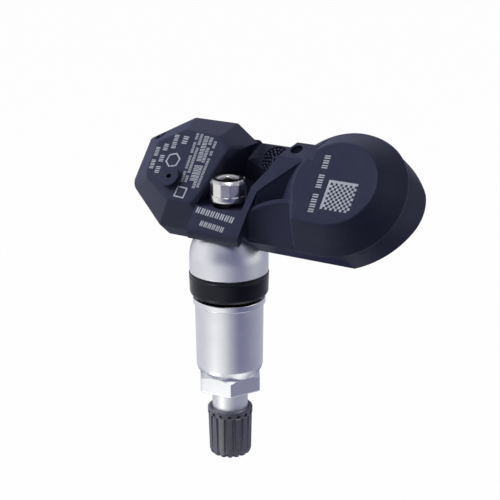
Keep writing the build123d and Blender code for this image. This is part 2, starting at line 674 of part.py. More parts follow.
# Valve stem: ball base, band, shaft, plain tip and cap thread, bored through
screw_tip = BALL_Z + BALL_R - SCREW_DEPTH
thread_top = STEM_END + THREAD_LEN
nut_low = WASHER_TOP - WASHER_T - NUT_H
with BuildPart() as valve_stem:
    with BuildSketch(Plane.XZ):
        with BuildLine():
            Polyline((0, STEM_END), (THREAD_R - THREAD_EDGE, STEM_END), (THREAD_R, STEM_END + THREAD_EDGE),
                     (THREAD_R, thread_top), (TIP_R, thread_top + 2 * EDGE), (TIP_R, nut_low + SHOULDER),
                     (STEM_R, nut_low + 2 * SHOULDER), (STEM_R, GROMMET_H), (BALL_R - 2 * EDGE, GROMMET_H),
                     (BALL_R, GROMMET_H + 2 * EDGE), (BALL_R, BALL_Z))
            CenterArc((0, BALL_Z), BALL_R, 0, 90)
            Line((0, BALL_Z + BALL_R), (0, STEM_END))
        make_face()
    revolve(axis=Axis.Z)
    with BuildSketch(Plane.XZ):
        with BuildLine():
            Polyline((0, BALL_Z + BALL_R + 1), (SCREW_R, BALL_Z + BALL_R + 1), (SCREW_R, screw_tip),
                     (PASSAGE_R, screw_tip), (PASSAGE_R, CORE_TOP + CHAMBER_H + 1),
                     (CORE_R, CORE_TOP + CHAMBER_H),
                     (CORE_R, STEM_END - 1), (0, STEM_END - 1), close=True)
        make_face()
    revolve(axis=Axis.Z, mode=Mode.SUBTRACT)
valve_stem.part.label = "valve_stem"
export_step(valve_stem.part, "parts/valve_stem.step")

# Hollow screw that clamps the saddle on the ball
head_step = SEAT_Z + HEAD_BAND_H
head_top = SEAT_Z + SCREW_HEAD_H
with BuildPart() as hollow_screw:
    with BuildSketch(Plane.XZ):
        with BuildLine():
            Polyline((0, screw_tip), (SCREW_R, screw_tip), (SCREW_R, SEAT_Z),
                     (SCREW_HEAD_R - HEAD_CHAMFER, SEAT_Z), (SCREW_HEAD_R, SEAT_Z + HEAD_CHAMFER),
                     (SCREW_HEAD_R, head_step - EDGE),
                     (SCREW_HEAD_R - EDGE, head_step), (SCREW_HEAD_R - EDGE, head_top - HEAD_CHAMFER),
                     (SCREW_HEAD_R - EDGE - HEAD_RIM, head_top), (0, head_top), close=True)
        make_face()
    revolve(axis=Axis.Z)
    with BuildSketch(Plane.XY.offset(head_step)):
        Circle(SCREW_HEAD_R + 1)
        RegularPolygon(SCREW_HEAD_R - EDGE / 2, HEAD_FACETS, rotation=HEAD_TURN, mode=Mode.SUBTRACT)
    extrude(amount=SCREW_HEAD_H, mode=Mode.SUBTRACT)
    with BuildSketch(Plane.XY.offset(head_top - SOCKET_H)):
        RegularPolygon(SOCKET_AF / 2, 6, major_radius=False, rotation=HEAD_TURN)
    extrude(amount=SOCKET_H, mode=Mode.SUBTRACT)
    # conical mouth of the socket
    with BuildSketch(Plane.XZ):
        with BuildLine():
            Polyline((0, head_top), (SOCKET_AF / 2 + SOCKET_CONE, head_top),
                     (SOCKET_AF / 2 - SOCKET_CONE / 2, head_top - SOCKET_CONE * 1.5),
                     (0, head_top - SOCKET_CONE * 1.5), close=True)
        make_face()
    revolve(axis=Axis.Z, mode=Mode.SUBTRACT)
    with BuildSketch(Plane.XY.offset(screw_tip)):
        Circle(SCREW_BORE_R)
    extrude(amount=SCREW_DEPTH + SEAT_R, mode=Mode.SUBTRACT)
hollow_screw.part.label = "hollow_screw"
export_step(hollow_screw.part, "parts/hollow_screw.step")

# Rubber grommet: rounded collar and the neck that fills the rim hole
with BuildPart() as grommet:
    with BuildSketch(Plane.XZ):
        with BuildLine():
            Polyline((STEM_R, -NECK_LEN), (NECK_TIP_R, -NECK_LEN), (NECK_R, -NECK_LAND), (NECK_R, 0),
                     (GROMMET_LOW_R - GROMMET_ROUND, 0))
            ThreePointArc((GROMMET_LOW_R - GROMMET_ROUND, 0),
                          (GROMMET_LOW_R - GROMMET_ROUND * ARC_MID, GROMMET_ROUND * ARC_MID),
                          (GROMMET_LOW_R, GROMMET_ROUND))
            Polyline((GROMMET_LOW_R, GROMMET_ROUND), (GROMMET_R, GROMMET_H - GROMMET_EDGE),
                     (GROMMET_R - GROMMET_EDGE, GROMMET_H), (STEM_R, GROMMET_H), (STEM_R, -NECK_LEN))
        make_face()
    revolve(axis=Axis.Z)
grommet.part.label = "grommet"
export_step(grommet.part, "parts/grommet.step")

# Cup washer with a raised outer rim
washer_low = WASHER_TOP - WASHER_T
with BuildPart() as clamp_washer:
    with BuildSketch(Plane.XZ):
        with BuildLine():
            Polyline((WASHER_IN_R, washer_low), (WASHER_R - EDGE, washer_low), (WASHER_R, washer_low + EDGE),
                     (WASHER_R, WASHER_TOP - EDGE), (WASHER_R - EDGE, WASHER_TOP),
                     (WASHER_R - WASHER_RIM, WASHER_TOP),
                     (WASHER_R - 2 * WASHER_RIM, WASHER_TOP - WASHER_DISH),
                     (WASHER_IN_R, WASHER_TOP - WASHER_DISH), close=True)
        make_face()
    revolve(axis=Axis.Z)
clamp_washer.part.label = "clamp_washer"
export_step(clamp_washer.part, "parts/clamp_washer.step")

# Union nut: tapered sleeve, cone and chamfered hexagon
nut_body_low = washer_low - NUT_BODY_H
nut_cone_low = nut_body_low - NUT_CONE_H
hex_corner_r = HEX_AF / sqrt(3)
nut_bore_r = STEM_R + RUN_GAP
with BuildPart() as hexagon:
    with BuildSketch(Plane.XY.offset(nut_low)):
        RegularPolygon(hex_corner_r, 6, rotation=HEX_TURN)
    extrude(amount=nut_cone_low + EDGE - nut_low)
    with BuildSketch(Plane.XZ):
        with BuildLine():
            Polyline((0, nut_low), (hex_corner_r + EDGE, nut_low),
                     (hex_corner_r + EDGE, nut_cone_low - HEX_CHAMFER),
                     (HEX_AF / 2, nut_cone_low + EDGE), (0, nut_cone_low + EDGE), close=True)
        make_face()
    revolve(axis=Axis.Z, mode=Mode.INTERSECT)

with BuildPart() as union_nut:
    with BuildSketch(Plane.XZ):
        with BuildLine():
            Polyline((0, nut_cone_low - NUT_FOOT), (HEX_AF / 2 - 2 * EDGE, nut_cone_low - NUT_FOOT),
                     (HEX_AF / 2, nut_cone_low),
                     (NUT_LOW_R - 2 * EDGE, nut_body_low - NUT_CONE_H * CONE_KNEE),
                     (NUT_LOW_R, nut_body_low), (NUT_TOP_R, washer_low - 2 * EDGE),
                     (NUT_TOP_R - 2 * EDGE, washer_low), (0, washer_low), close=True)
        make_face()
    revolve(axis=Axis.Z)
    add(hexagon.part)
    with BuildSketch(Plane.XZ):
        with BuildLine():
            Polyline((0, washer_low + 1), (WASHER_IN_R, washer_low + 1),
                     (WASHER_IN_R, washer_low - COUNTERBORE_H), (nut_bore_r, washer_low - COUNTERBORE_H),
                     (nut_bore_r, nut_low - 1), (0, nut_low - 1), close=True)
        make_face()
    revolve(axis=Axis.Z, mode=Mode.SUBTRACT)
union_nut.part.label = "union_nut"
export_step(union_nut.part, "parts/union_nut.step")

# Valve core barrel: threaded plug and thinner inner body
plug_top = BARREL_LOW + BARREL_PLUG_H
with BuildPart() as core_barrel:
    with BuildSketch(Plane.XZ):
        with BuildLine():
            Polyline((BARREL_BORE_R, BARREL_LOW), (CORE_R, BARREL_LOW), (CORE_R, plug_top),
                     (BARREL_BODY_R, plug_top), (BARREL_BODY_R, CORE_TOP), (PIN_R + PIN_PLAY, CORE_TOP),
                     (PIN_R + PIN_PLAY, CORE_TOP - BARREL_END_T), (BARREL_BORE_R, CORE_TOP - BARREL_END_T),
                     close=True)
        make_face()
    revolve(axis=Axis.Z)
core_barrel.part.label = "core_barrel"
export_step(core_barrel.part, "parts/core_barrel.step")

# Ring that seals the barrel in the stem
with BuildPart() as core_gasket:
    with BuildSketch(Plane.XY.offset(plug_top + GASKET_GAP)):
        Circle(CORE_R)
        Circle(BARREL_BODY_R, mode=Mode.SUBTRACT)
    extrude(amount=GASKET_H)
core_gasket.part.label = "core_gasket"
export_step(core_gasket.part, "parts/core_gasket.step")

# Core pin with spring collar and plunger
collar_low = BARREL_LOW + COLLAR_INSET
collar_r = BARREL_BORE_R - PIN_PLAY
plunger_low = CORE_TOP + SEAL_T
with BuildPart() as core_pin:
    with BuildSketch(Plane.XZ):
        with BuildLine():
            Polyline((0, PIN_TIP), (PIN_R - EDGE, PIN_TIP), (PIN_R, PIN_TIP + EDGE), (PIN_R, collar_low),
                     (collar_r, collar_low), (collar_r, collar_low + COLLAR_T),
                     (PIN_R, collar_low + COLLAR_T), (PIN_R, plunger_low), (PLUNGER_R, plunger_low),
                     (PLUNGER_R, plunger_low + PLUNGER_T),
                     (0, plunger_low + PLUNGER_T), close=True)
        make_face()
    revolve(axis=Axis.Z)
core_pin.part.label = "core_pin"
export_step(core_pin.part, "parts/core_pin.step")

# Rubber face of the plunger
with BuildPart() as core_seal:
    with BuildSketch(Plane.XY.offset(CORE_TOP)):
        Circle(PLUNGER_R)
        Circle(PIN_R, mode=Mode.SUBTRACT)
    extrude(amount=SEAL_T)
core_seal.part.label = "core_seal"
export_step(core_seal.part, "parts/core_seal.step")

# Core spring between collar and barrel end
spring_low = collar_low + COLLAR_T + SPRING_WIRE
spring_h = CORE_TOP - BARREL_END_T - SPRING_WIRE - spring_low
with BuildPart() as core_spring:
    with BuildLine():
        Helix(pitch=spring_h / SPRING_TURNS, height=spring_h, radius=SPRING_R, center=(0, 0, spring_low))
    with BuildSketch(Plane(origin=(SPRING_R, 0, spring_low), z_dir=(0, 1, 0))):
        RegularPolygon(SPRING_WIRE, SPRING_FACES)
    sweep(is_frenet=True)
core_spring.part.label = "core_spring"
export_step(core_spring.part, "parts/core_spring.step")

# Cap disc that closes the stem
with BuildPart() as cap_seal:
    with BuildSketch(Plane.XY.offset(STEM_END - CAP_SEAL_T)):
        Circle(THREAD_R - CAP_SEAL_PLAY)
    extrude(amount=CAP_SEAL_T)
cap_seal.part.label = "cap_seal"
export_step(cap_seal.part, "parts/cap_seal.step")

# Valve cap: fluted skirt with a scalloped end and a notched rim
cap_bore_r = THREAD_R + RUN_GAP
cap_inside = STEM_END - CAP_SEAL_T
cap_end = cap_inside - CAP_END_T
flute_step = 360 / CAP_FLUTES
scallop_plane = Plane(origin=(CAP_LOW_R - SCALLOP_IN, 0, cap_end), x_dir=(0, 1, 0), z_dir=(1, 0, 1))
with BuildPart() as scallop:
    with BuildSketch(scallop_plane):
        Circle(SCALLOP_R)
    extrude(amount=SCALLOP_REACH, both=True)
with BuildPart() as valve_cap:
    with BuildSketch(Plane.XZ):
        with BuildLine():
            Polyline((0, cap_end), (CAP_LOW_R - CAP_ROUND, cap_end),
                     (CAP_LOW_R - CAP_ROUND * ARC_MID, cap_end + CAP_ROUND * ARC_MID),
                     (CAP_LOW_R, cap_end + CAP_ROUND), (CAP_TOP_R, CAP_TOP - CAP_COLLAR_H),
                     (CAP_LIP_R, CAP_TOP - CAP_COLLAR_H + 2 * EDGE), (CAP_LIP_R, CAP_TOP - 2 * EDGE),
                     (CAP_LIP_R - 2 * EDGE, CAP_TOP), (cap_bore_r + 2 * EDGE, CAP_TOP),
                     (cap_bore_r, CAP_TOP - 2 * EDGE), (cap_bore_r, cap_inside), (0, cap_inside), close=True)
        make_face()
    revolve(axis=Axis.Z)
    with BuildSketch(Plane.XY.offset(cap_end - FLUTE_STOP)):
        with PolarLocations(CAP_LOW_R + FLUTE_OUT, CAP_FLUTES, start_angle=CAP_TURN + flute_step / 2):
            Circle(FLUTE_R)
    extrude(amount=CAP_TOP - CAP_COLLAR_H - cap_end, mode=Mode.SUBTRACT)
    with PolarLocations(0, CAP_FLUTES, start_angle=CAP_TURN + flute_step / 2):
        add(scallop.part, mode=Mode.SUBTRACT)
    with BuildSketch(Plane.XY.offset(CAP_TOP - NOTCH_LOW)):
        with PolarLocations(CAP_LIP_R, CAP_FLUTES, start_angle=CAP_TURN):
            Rectangle(NOTCH, NOTCH)
    extrude(amount=NOTCH_H, mode=Mode.SUBTRACT)
valve_cap.part.label = "valve_cap"
export_step(valve_cap.part, "parts/valve_cap.step")
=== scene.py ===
"""Visible pieces, finishes and stage of a clamp-in tyre pressure sensor, an add-on run as a script."""

import math

import bmesh
import bpy
import numpy as np
from mathutils import Matrix, Vector


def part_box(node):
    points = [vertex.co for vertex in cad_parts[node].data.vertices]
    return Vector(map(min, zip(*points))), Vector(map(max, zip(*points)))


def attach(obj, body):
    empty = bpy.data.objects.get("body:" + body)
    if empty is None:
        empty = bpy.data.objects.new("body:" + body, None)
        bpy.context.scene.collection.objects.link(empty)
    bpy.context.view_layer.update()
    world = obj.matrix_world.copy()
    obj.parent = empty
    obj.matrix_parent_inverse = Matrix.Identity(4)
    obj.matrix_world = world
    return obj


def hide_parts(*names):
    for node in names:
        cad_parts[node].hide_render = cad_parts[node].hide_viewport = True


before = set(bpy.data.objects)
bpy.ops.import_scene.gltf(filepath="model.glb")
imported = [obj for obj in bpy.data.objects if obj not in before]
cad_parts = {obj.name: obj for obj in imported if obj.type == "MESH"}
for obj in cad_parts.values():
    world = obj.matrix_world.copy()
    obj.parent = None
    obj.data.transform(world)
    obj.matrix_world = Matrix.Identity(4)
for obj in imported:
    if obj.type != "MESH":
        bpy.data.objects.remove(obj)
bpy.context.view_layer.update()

bl_info = {
    "name": "Tyre pressure sensor",
    "version": (1, 0, 0),
    "blender": (4, 5, 0),
    "location": "3D View > Sidebar > Sensor",
    "description": "Builds the visible pieces, finishes and stage of a clamp-in tyre pressure sensor",
    "category": "Object",
}

# Sizes are in millimetres, in the shared frame or in the plane of the tilted housing

MM = 0.001
FULL_TURN = 2 * math.pi
TILT = math.radians(50.0)
STEM_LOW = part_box("valve_stem")[0].z / MM
CAP_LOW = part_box("valve_cap")[0].z / MM
CAP_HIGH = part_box("valve_cap")[1].z / MM
NUT_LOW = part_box("union_nut")[0].z / MM
NUT_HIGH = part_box("union_nut")[1].z / MM
WASHER_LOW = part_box("clamp_washer")[0].z / MM
WASHER_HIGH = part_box("clamp_washer")[1].z / MM
SCREW_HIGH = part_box("hollow_screw")[1].z / MM
SCREW_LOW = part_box("hollow_screw")[0].z / MM
GROMMET_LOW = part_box("grommet")[0].z / MM
GROMMET_TOP = 4.9

# Housing, its lip, print and dial
WELD = 0.002
HOUSING_CREASE = 13.0
LOBE_TOP = 12.5
PLATE_TOP = 12.0
FOOT_X, FOOT_Y, FOOT_H = 22.6, 16.7, 8.2
FOOT_R = 12.9
FOOT_START = 16.7
FOOT_END = 80.0
FOOT_ROWS = 140
LIP_FADE_IN, LIP_FADE_OUT, LIP_LEAST = 0.03, 0.15, 0.02
LIP_SECTION = [
    (-0.6, -0.6, 0), (0.3, -0.55, 0.1), (0.28, -0.08, 0.45), (-1.45, 1.42, 0), (-1.45, 1.0, 0)]
TICK_FIRST, TICK_STEP, TICK_WIDTH = 0.28, 0.44, 0.25
LOBE_LINES = [
    ((-18.2, 18.7), (-18.0, 13.7), 0.95, [3, 3]),
    ((-16.55, 19.7), (-16.35, 12.9), 1.05, [2, 2, 2]),
    ((-14.95, 22.0), (-14.75, 18.7), 1.05, [4]),
    ((-12.65, 22.0), (-12.7, 20.0), 1.25, [2]),
    ((-10.35, 22.9), (-9.75, 11.9), 0.6, [3, 5, 6, 5]),
    ((-9.3, 22.9), (-8.9, 12.0), 0.65, [5, 11, 3]),
    ((-8.05, 22.6), (-7.55, 12.5), 1.1, [8, 5]),
    ((-6.8, 22.4), (-6.65, 11.0), 0.75, [3, 6, 9]),
    ((-5.6, 21.7), (-5.8, 11.3), 0.6, [3, 2, 12])]
PLATE_LINES = [
    ((4.6, 6.05), (-4.5, 7.0), 1.25, [8]),
    ((3.2, 3.75), (-2.6, 4.4), 1.1, [6])]
DISC_LINES = [((19.5, 22.3), (20.0, 10.1), 1.2, [3, 3, 4])]
HEXAGON_PLACE, HEXAGON_R, HEXAGON_LINE = (-13.7, 16.3), 1.7, 0.32
HEXAGON_TURN = math.radians(18)
SQUARE = [(-10.4, 8.7), (-8.0, 8.55), (-7.85, 10.9), (-10.25, 11.05)]
SQUARE_LINE = 0.36
CHEQUER_PLACE, CHEQUER_SIDE, CHEQUER_CELLS = (24.58, 14.25), 6.05, 12
DIAL_PLACE, DIAL_FLOOR = (5.4, 22.0), 6.7
DIAL_SINK, DIAL_SKIN, STUD_RISE, STUD_SIDE = 0.05, 0.03, 0.22, 0.34
STUD_RINGS = [(20, 2.45), (14, 1.8), (8, 1.15)]
STUD_START = 0.1
# DIAL_R and DIAL_BAND size the dark sheet laid over the dial's face as painted shade
DIAL_R, DIAL_BAND = 2.85, 2.8
DIAL_RING_R, DIAL_RING_BAND = 0.75, 0.2
CIRCLE_STEPS = 48

# Turned pieces
FACET_COLUMNS = 360
BALL_Z, BALL_R, BALL_ROWS = 7.9, 7.9, 40
STEM_COLUMNS = 144
STEM_BORE, STEM_SHAFT, STEM_TIP, STEM_NECK = 1.2, 4.0, 3.75, 3.65
CORE_POCKET, CORE_FLOOR, CORE_CONE = 2.45, -19.0, -18.0
SCREW_HOLE, SCREW_FLOOR = 2.5, 9.4
TIP_END = STEM_LOW + 8.6
SHAFT_START = NUT_LOW + 0.8
THREAD_SKIN = 0.05
TIP_STEP, SHAFT_STEP = 0.1, 0.125
SHAFT_DEEPER = 1.2
FLANK_GAIN, ROOT_CUT = 1.6, 0.15
COLLAR_R = 8.0
WASHER_BORE, WASHER_R, WASHER_LIP = 5.95, 7.3, 0.45
HEX_FLAT, HEX_SOFT = 6.0, 0.06
HEX_CORNER = math.radians(3.9)
CONE_R, CONE_TOP, CONE_SLOPE = 5.985, NUT_LOW + 3.6, 1.373
NUT_BORE, NUT_STEP, NUT_POCKET = 4.05, NUT_HIGH - 2.7, 5.95
SCREW_SEAT = 18.9
SCREW_CORNER = math.radians(8.0)
SCREW_BORE, SCREW_R = 1.1, 2.5
FACET_FLAT, FACET_SOFT = 3.477, 0.02
SCREW_FLANGE = 3.65
SOCKET_FLAT, SOCKET_SOFT, SOCKET_MOUTH = 2.2, 0.04, 2.9
SOCKET_FLOOR = SCREW_HIGH - 3.2
BURR_TURN, BURR_WIDTH = math.radians(40), 0.1
FLUTE_START, FLUTE_COLUMNS, FLUTE_PLACE = math.radians(-59.0), 48, 4.38
SCALLOP_R, SCALLOP_PLACE = 0.6, 4.0
UNCUT = 9.0
WINDOW_HALF, WINDOW_FLOOR, WINDOW_PLACE = 0.36, 4.27, 4.6
CAP_ROUND, CAP_ROUND_PLACE, CAP_ROUND_ROWS = 0.9, 3.4, 10
CAP_MIDDLE, CAP_BORE, CAP_END, CAP_R = 0.6, 3.8, 0.8, 4.62
SKIRT_LOW, SKIRT_HIGH, SKIRT_ROWS = 4.305, 4.5, 14
CAP_COLLAR = CAP_HIGH - 1.3

# Reflection tent: radius in metres, tones by degrees from the camera to the right and degrees of height
TENT_R, TENT_COLUMNS, TENT_ROWS, TENT_REACH = 0.12, 180, 61, 89.5
TENT_LOW = (
    [-180, -150, -110, -75, -45, -20, 5, 30, 60, 95, 130, 180],
    [0.62, 0.68, 0.64, 0.76, 0.92, 0.84, 0.42, 0.15, 0.18, 0.3, 0.43, 0.62])
TENT_HIGH = (
    [-180, -160, -145, -118, -72, -50, -30, 10, 45, 58, 88, 100, 180],
    [0.26, 0.26, 0.26, 0.8, 0.9, 0.6, 0.2, 0.08, 0.2, 0.95, 0.95, 0.4, 0.26])
TENT_TOP = ([70, 100, 150], [0.36, 0.4, 0.6])
TENT_FOOT = ([60, 120], [0.4, 0.03])
TENT_FOOT_SIDES = ([-60, 60], [1.5, 0.8])
TENT_CLIMB = ([-13, -7], [0, 1])
TENT_OVER = ([30, 50], [0, 1])
TENT_LIFT = ([110, 150], [0, 14])
TENT_FOOT_LEVEL, TENT_FOOT_FADE = -42, 16
TENT_GLOWS = [(5.2, -58, 15, -46, 5), (6.0, 5, 25, 64, 10), (1.4, 54, 45, -64, 15)]
TENT_GREEN, TENT_BLUE = 1.01, 0.13

# Floor, lamps and clipping in metres, the camera's sensor in millimetres
FLOOR_HALF, FLOOR_SEEN = 3.0, 0.985
LAMP_DEPTH = 0.4
COOL = (0.93, 0.95, 1.0)
SENSOR_WIDTH = 36.0
CLIP_NEAR, CLIP_FAR = 0.01, 20.0


def colour_setting(name, description, default):
    """Colour property."""
    return bpy.props.FloatVectorProperty(
        name=name, description=description, subtype="COLOR", size=3, min=0, max=1, default=default)


def length_setting(name, description, millimetres):
    """Length property."""
    return bpy.props.FloatProperty(
        name=name, description=description, default=millimetres * MM, unit="LENGTH")


def angle_setting(name, description, degrees):
    """Angle property."""
    return bpy.props.FloatProperty(
        name=name, description=description, default=math.radians(degrees), subtype="ANGLE")


def power_setting(name, description, watts):
    """Lamp power property."""
    return bpy.props.FloatProperty(name=name, description=description, default=watts, unit="POWER")


class SensorFinishes(bpy.types.PropertyGroup):
    """Base colours of the finishes."""

    housing: colour_setting("Housing", "Moulded housing", (0.026, 0.028, 0.058))
    print_paint: colour_setting("Print", "Pale print on the housing", (0.52, 0.54, 0.62))
    aluminium: colour_setting("Aluminium", "Satin stem and nut", (0.86, 0.865, 0.89))
    nickel: colour_setting("Nickel", "Plated screw", (0.80, 0.785, 0.77))
    bright: colour_setting("Bright metal", "Polished washer", (0.90, 0.905, 0.92))
    rubber: colour_setting("Rubber", "Black grommet", (0.005, 0.005, 0.009))
    cap: colour_setting("Cap", "Dark grey valve cap", (0.115, 0.118, 0.16))


class SensorSizes(bpy.types.PropertyGroup):
    """Small sizes of the dressed pieces."""

    around: bpy.props.IntProperty(
        name="Steps around", description="Steps round a turned piece", default=192, min=48, max=720)
    edge: length_setting("Broken edge", "Rounding of turned edges", 0.12)
    thread_depth: length_setting("Thread depth", "Depth of the cap thread", 0.42)
    cap_pitch: length_setting("Cap pitch", "Pitch of the cap thread", 0.794)
    nut_pitch: length_setting("Nut pitch", "Pitch of the nut thread", 1.0)
    flutes: bpy.props.IntProperty(name="Cap flutes", description="Grooves round the cap", default=16, min=6)
    flute_round: length_setting("Flute radius", "Radius of a cap groove", 0.3)
    print_height: length_setting("Print height", "Height of the print over the plastic", 0.012)
    soft_edge: length_setting("Soft edge", "Shaded rounding of moulded edges", 0.2)


class SensorStage(bpy.types.PropertyGroup):
    """Camera, floor and lights."""

    aim: bpy.props.FloatVectorProperty(
        name="Aim", description="Point that the camera looks at", size=3, subtype="TRANSLATION",
        default=(3.573 * MM, 2.207 * MM, 9.022 * MM))
    distance: length_setting("Distance", "Camera to aim", 260.0)
    azimuth: angle_setting("Azimuth", "Camera turn about Z", 31.7)
    elevation: angle_setting("Elevation", "Camera height angle", 18.46)
    roll: angle_setting("Roll", "Camera roll", -0.185)
    lens: bpy.props.FloatProperty(
        name="Lens", description="Focal length on a 36 mm sensor", default=94.31, subtype="DISTANCE_CAMERA")
    floor_drop: length_setting("Floor", "Height of the floor", -130.0)
    key_power: power_setting("Key", "Lamp at the upper left", 4.5)
    front_power: power_setting("Front", "Lamp beside the camera", 0.25)
    right_power: power_setting("Right", "Lamp at the right", 2.0)
    ambient: bpy.props.FloatProperty(
        name="Ambient", description="Light from all sides", default=0.08, min=0, max=1)


def settings():
    """The scene's three property groups."""
    scene = bpy.context.scene
    return scene.sensor_finishes, scene.sensor_sizes, scene.sensor_stage


# Shapes


def rounded_loop(corners, steps=5, guard=0.05, straight=1.55, most=0.45):
    """Closed outline through corners (r, z, rounding): each corner becomes a circular arc tangent to both
    sides, with a point a guard's way along each side so that flat sides shade flat. A corner whose half
    angle is over straight stays as it is, and no arc takes more than the share most of a side."""
    points = np.array(corners, float)
    spots = points[:, :2]
    out = []
    count = len(spots)
    for i in range(count):
        here, rounding = spots[i], points[i, 2]
        to_last = spots[i - 1] - here
        to_next = spots[(i + 1) % count] - here
        reach_last = np.linalg.norm(to_last)
        reach_next = np.linalg.norm(to_next)
        u, v = to_last / reach_last, to_next / reach_next
        half = math.acos(np.clip(u @ v, -1, 1)) / 2
        if rounding <= 0 or half > straight:
            out.append(here[None])
            continue
        tangent = min(rounding / math.tan(half), most * reach_last, most * reach_next)
        radius = tangent * math.tan(half)
        centre = here + (u + v) / np.linalg.norm(u + v) * radius / math.sin(half)
        first, last = (here + u * tangent - centre) / radius, (here + v * tangent - centre) / radius
        sweep = math.acos(np.clip(first @ last, -1, 1))
        t = np.linspace(0, 1, steps + 1)[:, None]
        swung = np.sin((1 - t) * sweep) * first + np.sin(t * sweep) * last
        arc = centre + radius * swung / math.sin(sweep)
        before = here + u * min(tangent + guard, 0.5 * reach_last)
        after = here + v * min(tangent + guard, 0.5 * reach_next)
        out.append(np.vstack([before[None], arc, after[None]]))
    return np.vstack(out)


def densify(loop, longest, low, high, slack=1e-6):
    """The closed loop with points added along each side between heights low and high, no further apart than
    longest."""
    following = np.roll(loop, -1, axis=0)
    length = np.linalg.norm(following - loop, axis=1)
    inside = np.minimum(loop[:, 1], following[:, 1]) >= low - slack
    inside &= np.maximum(loop[:, 1], following[:, 1]) <= high + slack
    parts = np.where(inside, np.maximum(1, np.ceil(length / longest)), 1).astype(int)
    index = np.repeat(np.arange(len(loop)), parts)
    step = np.arange(len(index)) - np.repeat(np.cumsum(parts) - parts, parts)
    share = (step / parts[index])[:, None]
    return loop[index] * (1 - share) + following[index] * share


def angles(count, start=0.0):
    """Count equal angles round a full turn from start."""
    return start + np.arange(count) * FULL_TURN / count


def on_circle(centre, reach, turn):
    """Points round a centre: x = centre + reach cos turn, y = centre + reach sin turn."""
    return np.asarray(centre) + np.stack([reach * np.cos(turn), reach * np.sin(turn)], axis=-1)


def polygon_radius(turn, sides, flat, corner, soft, width=0.03):
    """Distance from the axis to a regular polygon: flat / cos of the angle from the nearest flat's middle,
    eased by soft at the corners, which lie at the angle corner."""
    step = FULL_TURN / sides
    off = (turn - corner) % step - step / 2
    return flat / np.cos(off) - soft * np.exp(-((np.abs(off) - step / 2) / width) ** 2)


def grid_quads(rows, columns, closed=False, flip=False):
    """Quads of a grid of points whose columns close on themselves, and whose rows do too if it is closed."""
    index = np.arange(rows * columns).reshape(rows, columns)
    across = np.roll(index, -1, axis=1)
    above, above_across = np.roll(index, -1, axis=0), np.roll(across, -1, axis=0)
    around = [index, above, above_across, across] if flip else [index, across, above_across, above]
    quads = np.stack(around, axis=-1)
    return (quads if closed else quads[:-1]).reshape(-1, 4)


def linked(name, data):
    """New object in the scene for a mesh, a lamp or a camera."""
    piece = bpy.data.objects.new(name, data)
    bpy.context.scene.collection.objects.link(piece)
    return piece


def smooth(mesh, sharp):
    """Smooth shading but for creases of more than sharp degrees."""
    mesh.polygons.foreach_set("use_smooth", np.ones(len(mesh.polygons), bool))
    mesh.set_sharp_from_angle(angle=math.radians(sharp))


def surface(name, points, quads, triangles=None, sharp=40.0):
    """Mesh object at the origin from whole arrays of points, quads and triangles, smooth but for creases."""
    mesh = bpy.data.meshes.new(name)
    faces = quads.tolist()
    if triangles is not None:
        faces += triangles.tolist()
    mesh.from_pydata(np.asarray(points, float).reshape(-1, 3).tolist(), [], faces)
    smooth(mesh, sharp)
    mesh.update()
    return linked(name, mesh)


def tube(name, points, poles, flip=False):
    """Mesh of a grid of points whose columns close on themselves, with a fan to a pole at each end."""
    rows, columns = points.shape[:2]
    index = np.arange(columns)
    across = np.roll(index, -1)
    top = (rows - 1) * columns
    pole = np.full(columns, rows * columns)
    fan_low = np.stack([pole, across, index], axis=-1)
    fan_high = np.stack([pole + 1, top + index, top + across], axis=-1)
    fans = np.vstack([fan_low, fan_high])
    if flip:
        fans = fans[:, [0, 2, 1]]
    every = np.vstack([points.reshape(-1, 3), poles])
    return surface(name, every, grid_quads(rows, columns, flip=flip), fans)


def revolve(name, rows, turn, closed=True):
    """Surface of revolution: point = (r cos t, r sin t, z), from rows of (r, z), each a number or one value
    per angle. A closed loop of rows gives a ring; an open one runs to a point on the axis at each end."""
    r = np.vstack([np.broadcast_to(row[0], turn.shape) for row in rows])
    z = np.vstack([np.broadcast_to(row[1], turn.shape) for row in rows])
    points = np.stack([r * np.cos(turn), r * np.sin(turn), z], axis=-1) * MM
    if closed:
        return surface(name, points, grid_quads(*r.shape, closed=True))
    return tube(name, points, points[[0, -1], 0] * (0, 0, 1))


def on_lid(x, y, h):
    """Place on the tilted housing: x along it, y up its slope, h along its normal, to the shared frame."""
    x, y, h = np.broadcast_arrays(np.asarray(x, float), np.asarray(y, float), np.asarray(h, float))
    return np.stack([
        x,
        y * math.cos(TILT) - h * math.sin(TILT),
        GROMMET_TOP + y * math.sin(TILT) + h * math.cos(TILT)], axis=-1) * MM


def pads(name, centres, sizes, turns, low, high):
    """Flat printed bars: each is a box about its centre, sized (length, width), turned in the lid's plane
    and reaching from height low to high along its normal."""
    side = np.array([[-1, -1], [1, -1], [1, 1], [-1, 1]]) / 2
    flat = side[None] * sizes[:, None]
    c, s = np.cos(turns)[:, None], np.sin(turns)[:, None]
    x = centres[:, :1] + flat[..., 0] * c - flat[..., 1] * s
    y = centres[:, 1:] + flat[..., 0] * s + flat[..., 1] * c
    points = np.concatenate([on_lid(x, y, low), on_lid(x, y, high)], axis=1)
    box = np.array([[3, 2, 1, 0], [4, 5, 6, 7], [0, 1, 5, 4], [1, 2, 6, 5], [2, 3, 7, 6], [3, 0, 4, 7]])
    quads = (np.arange(len(centres)) * 8)[:, None, None] + box[None]
    return surface(name, points, quads.reshape(-1, 4), sharp=30.0)


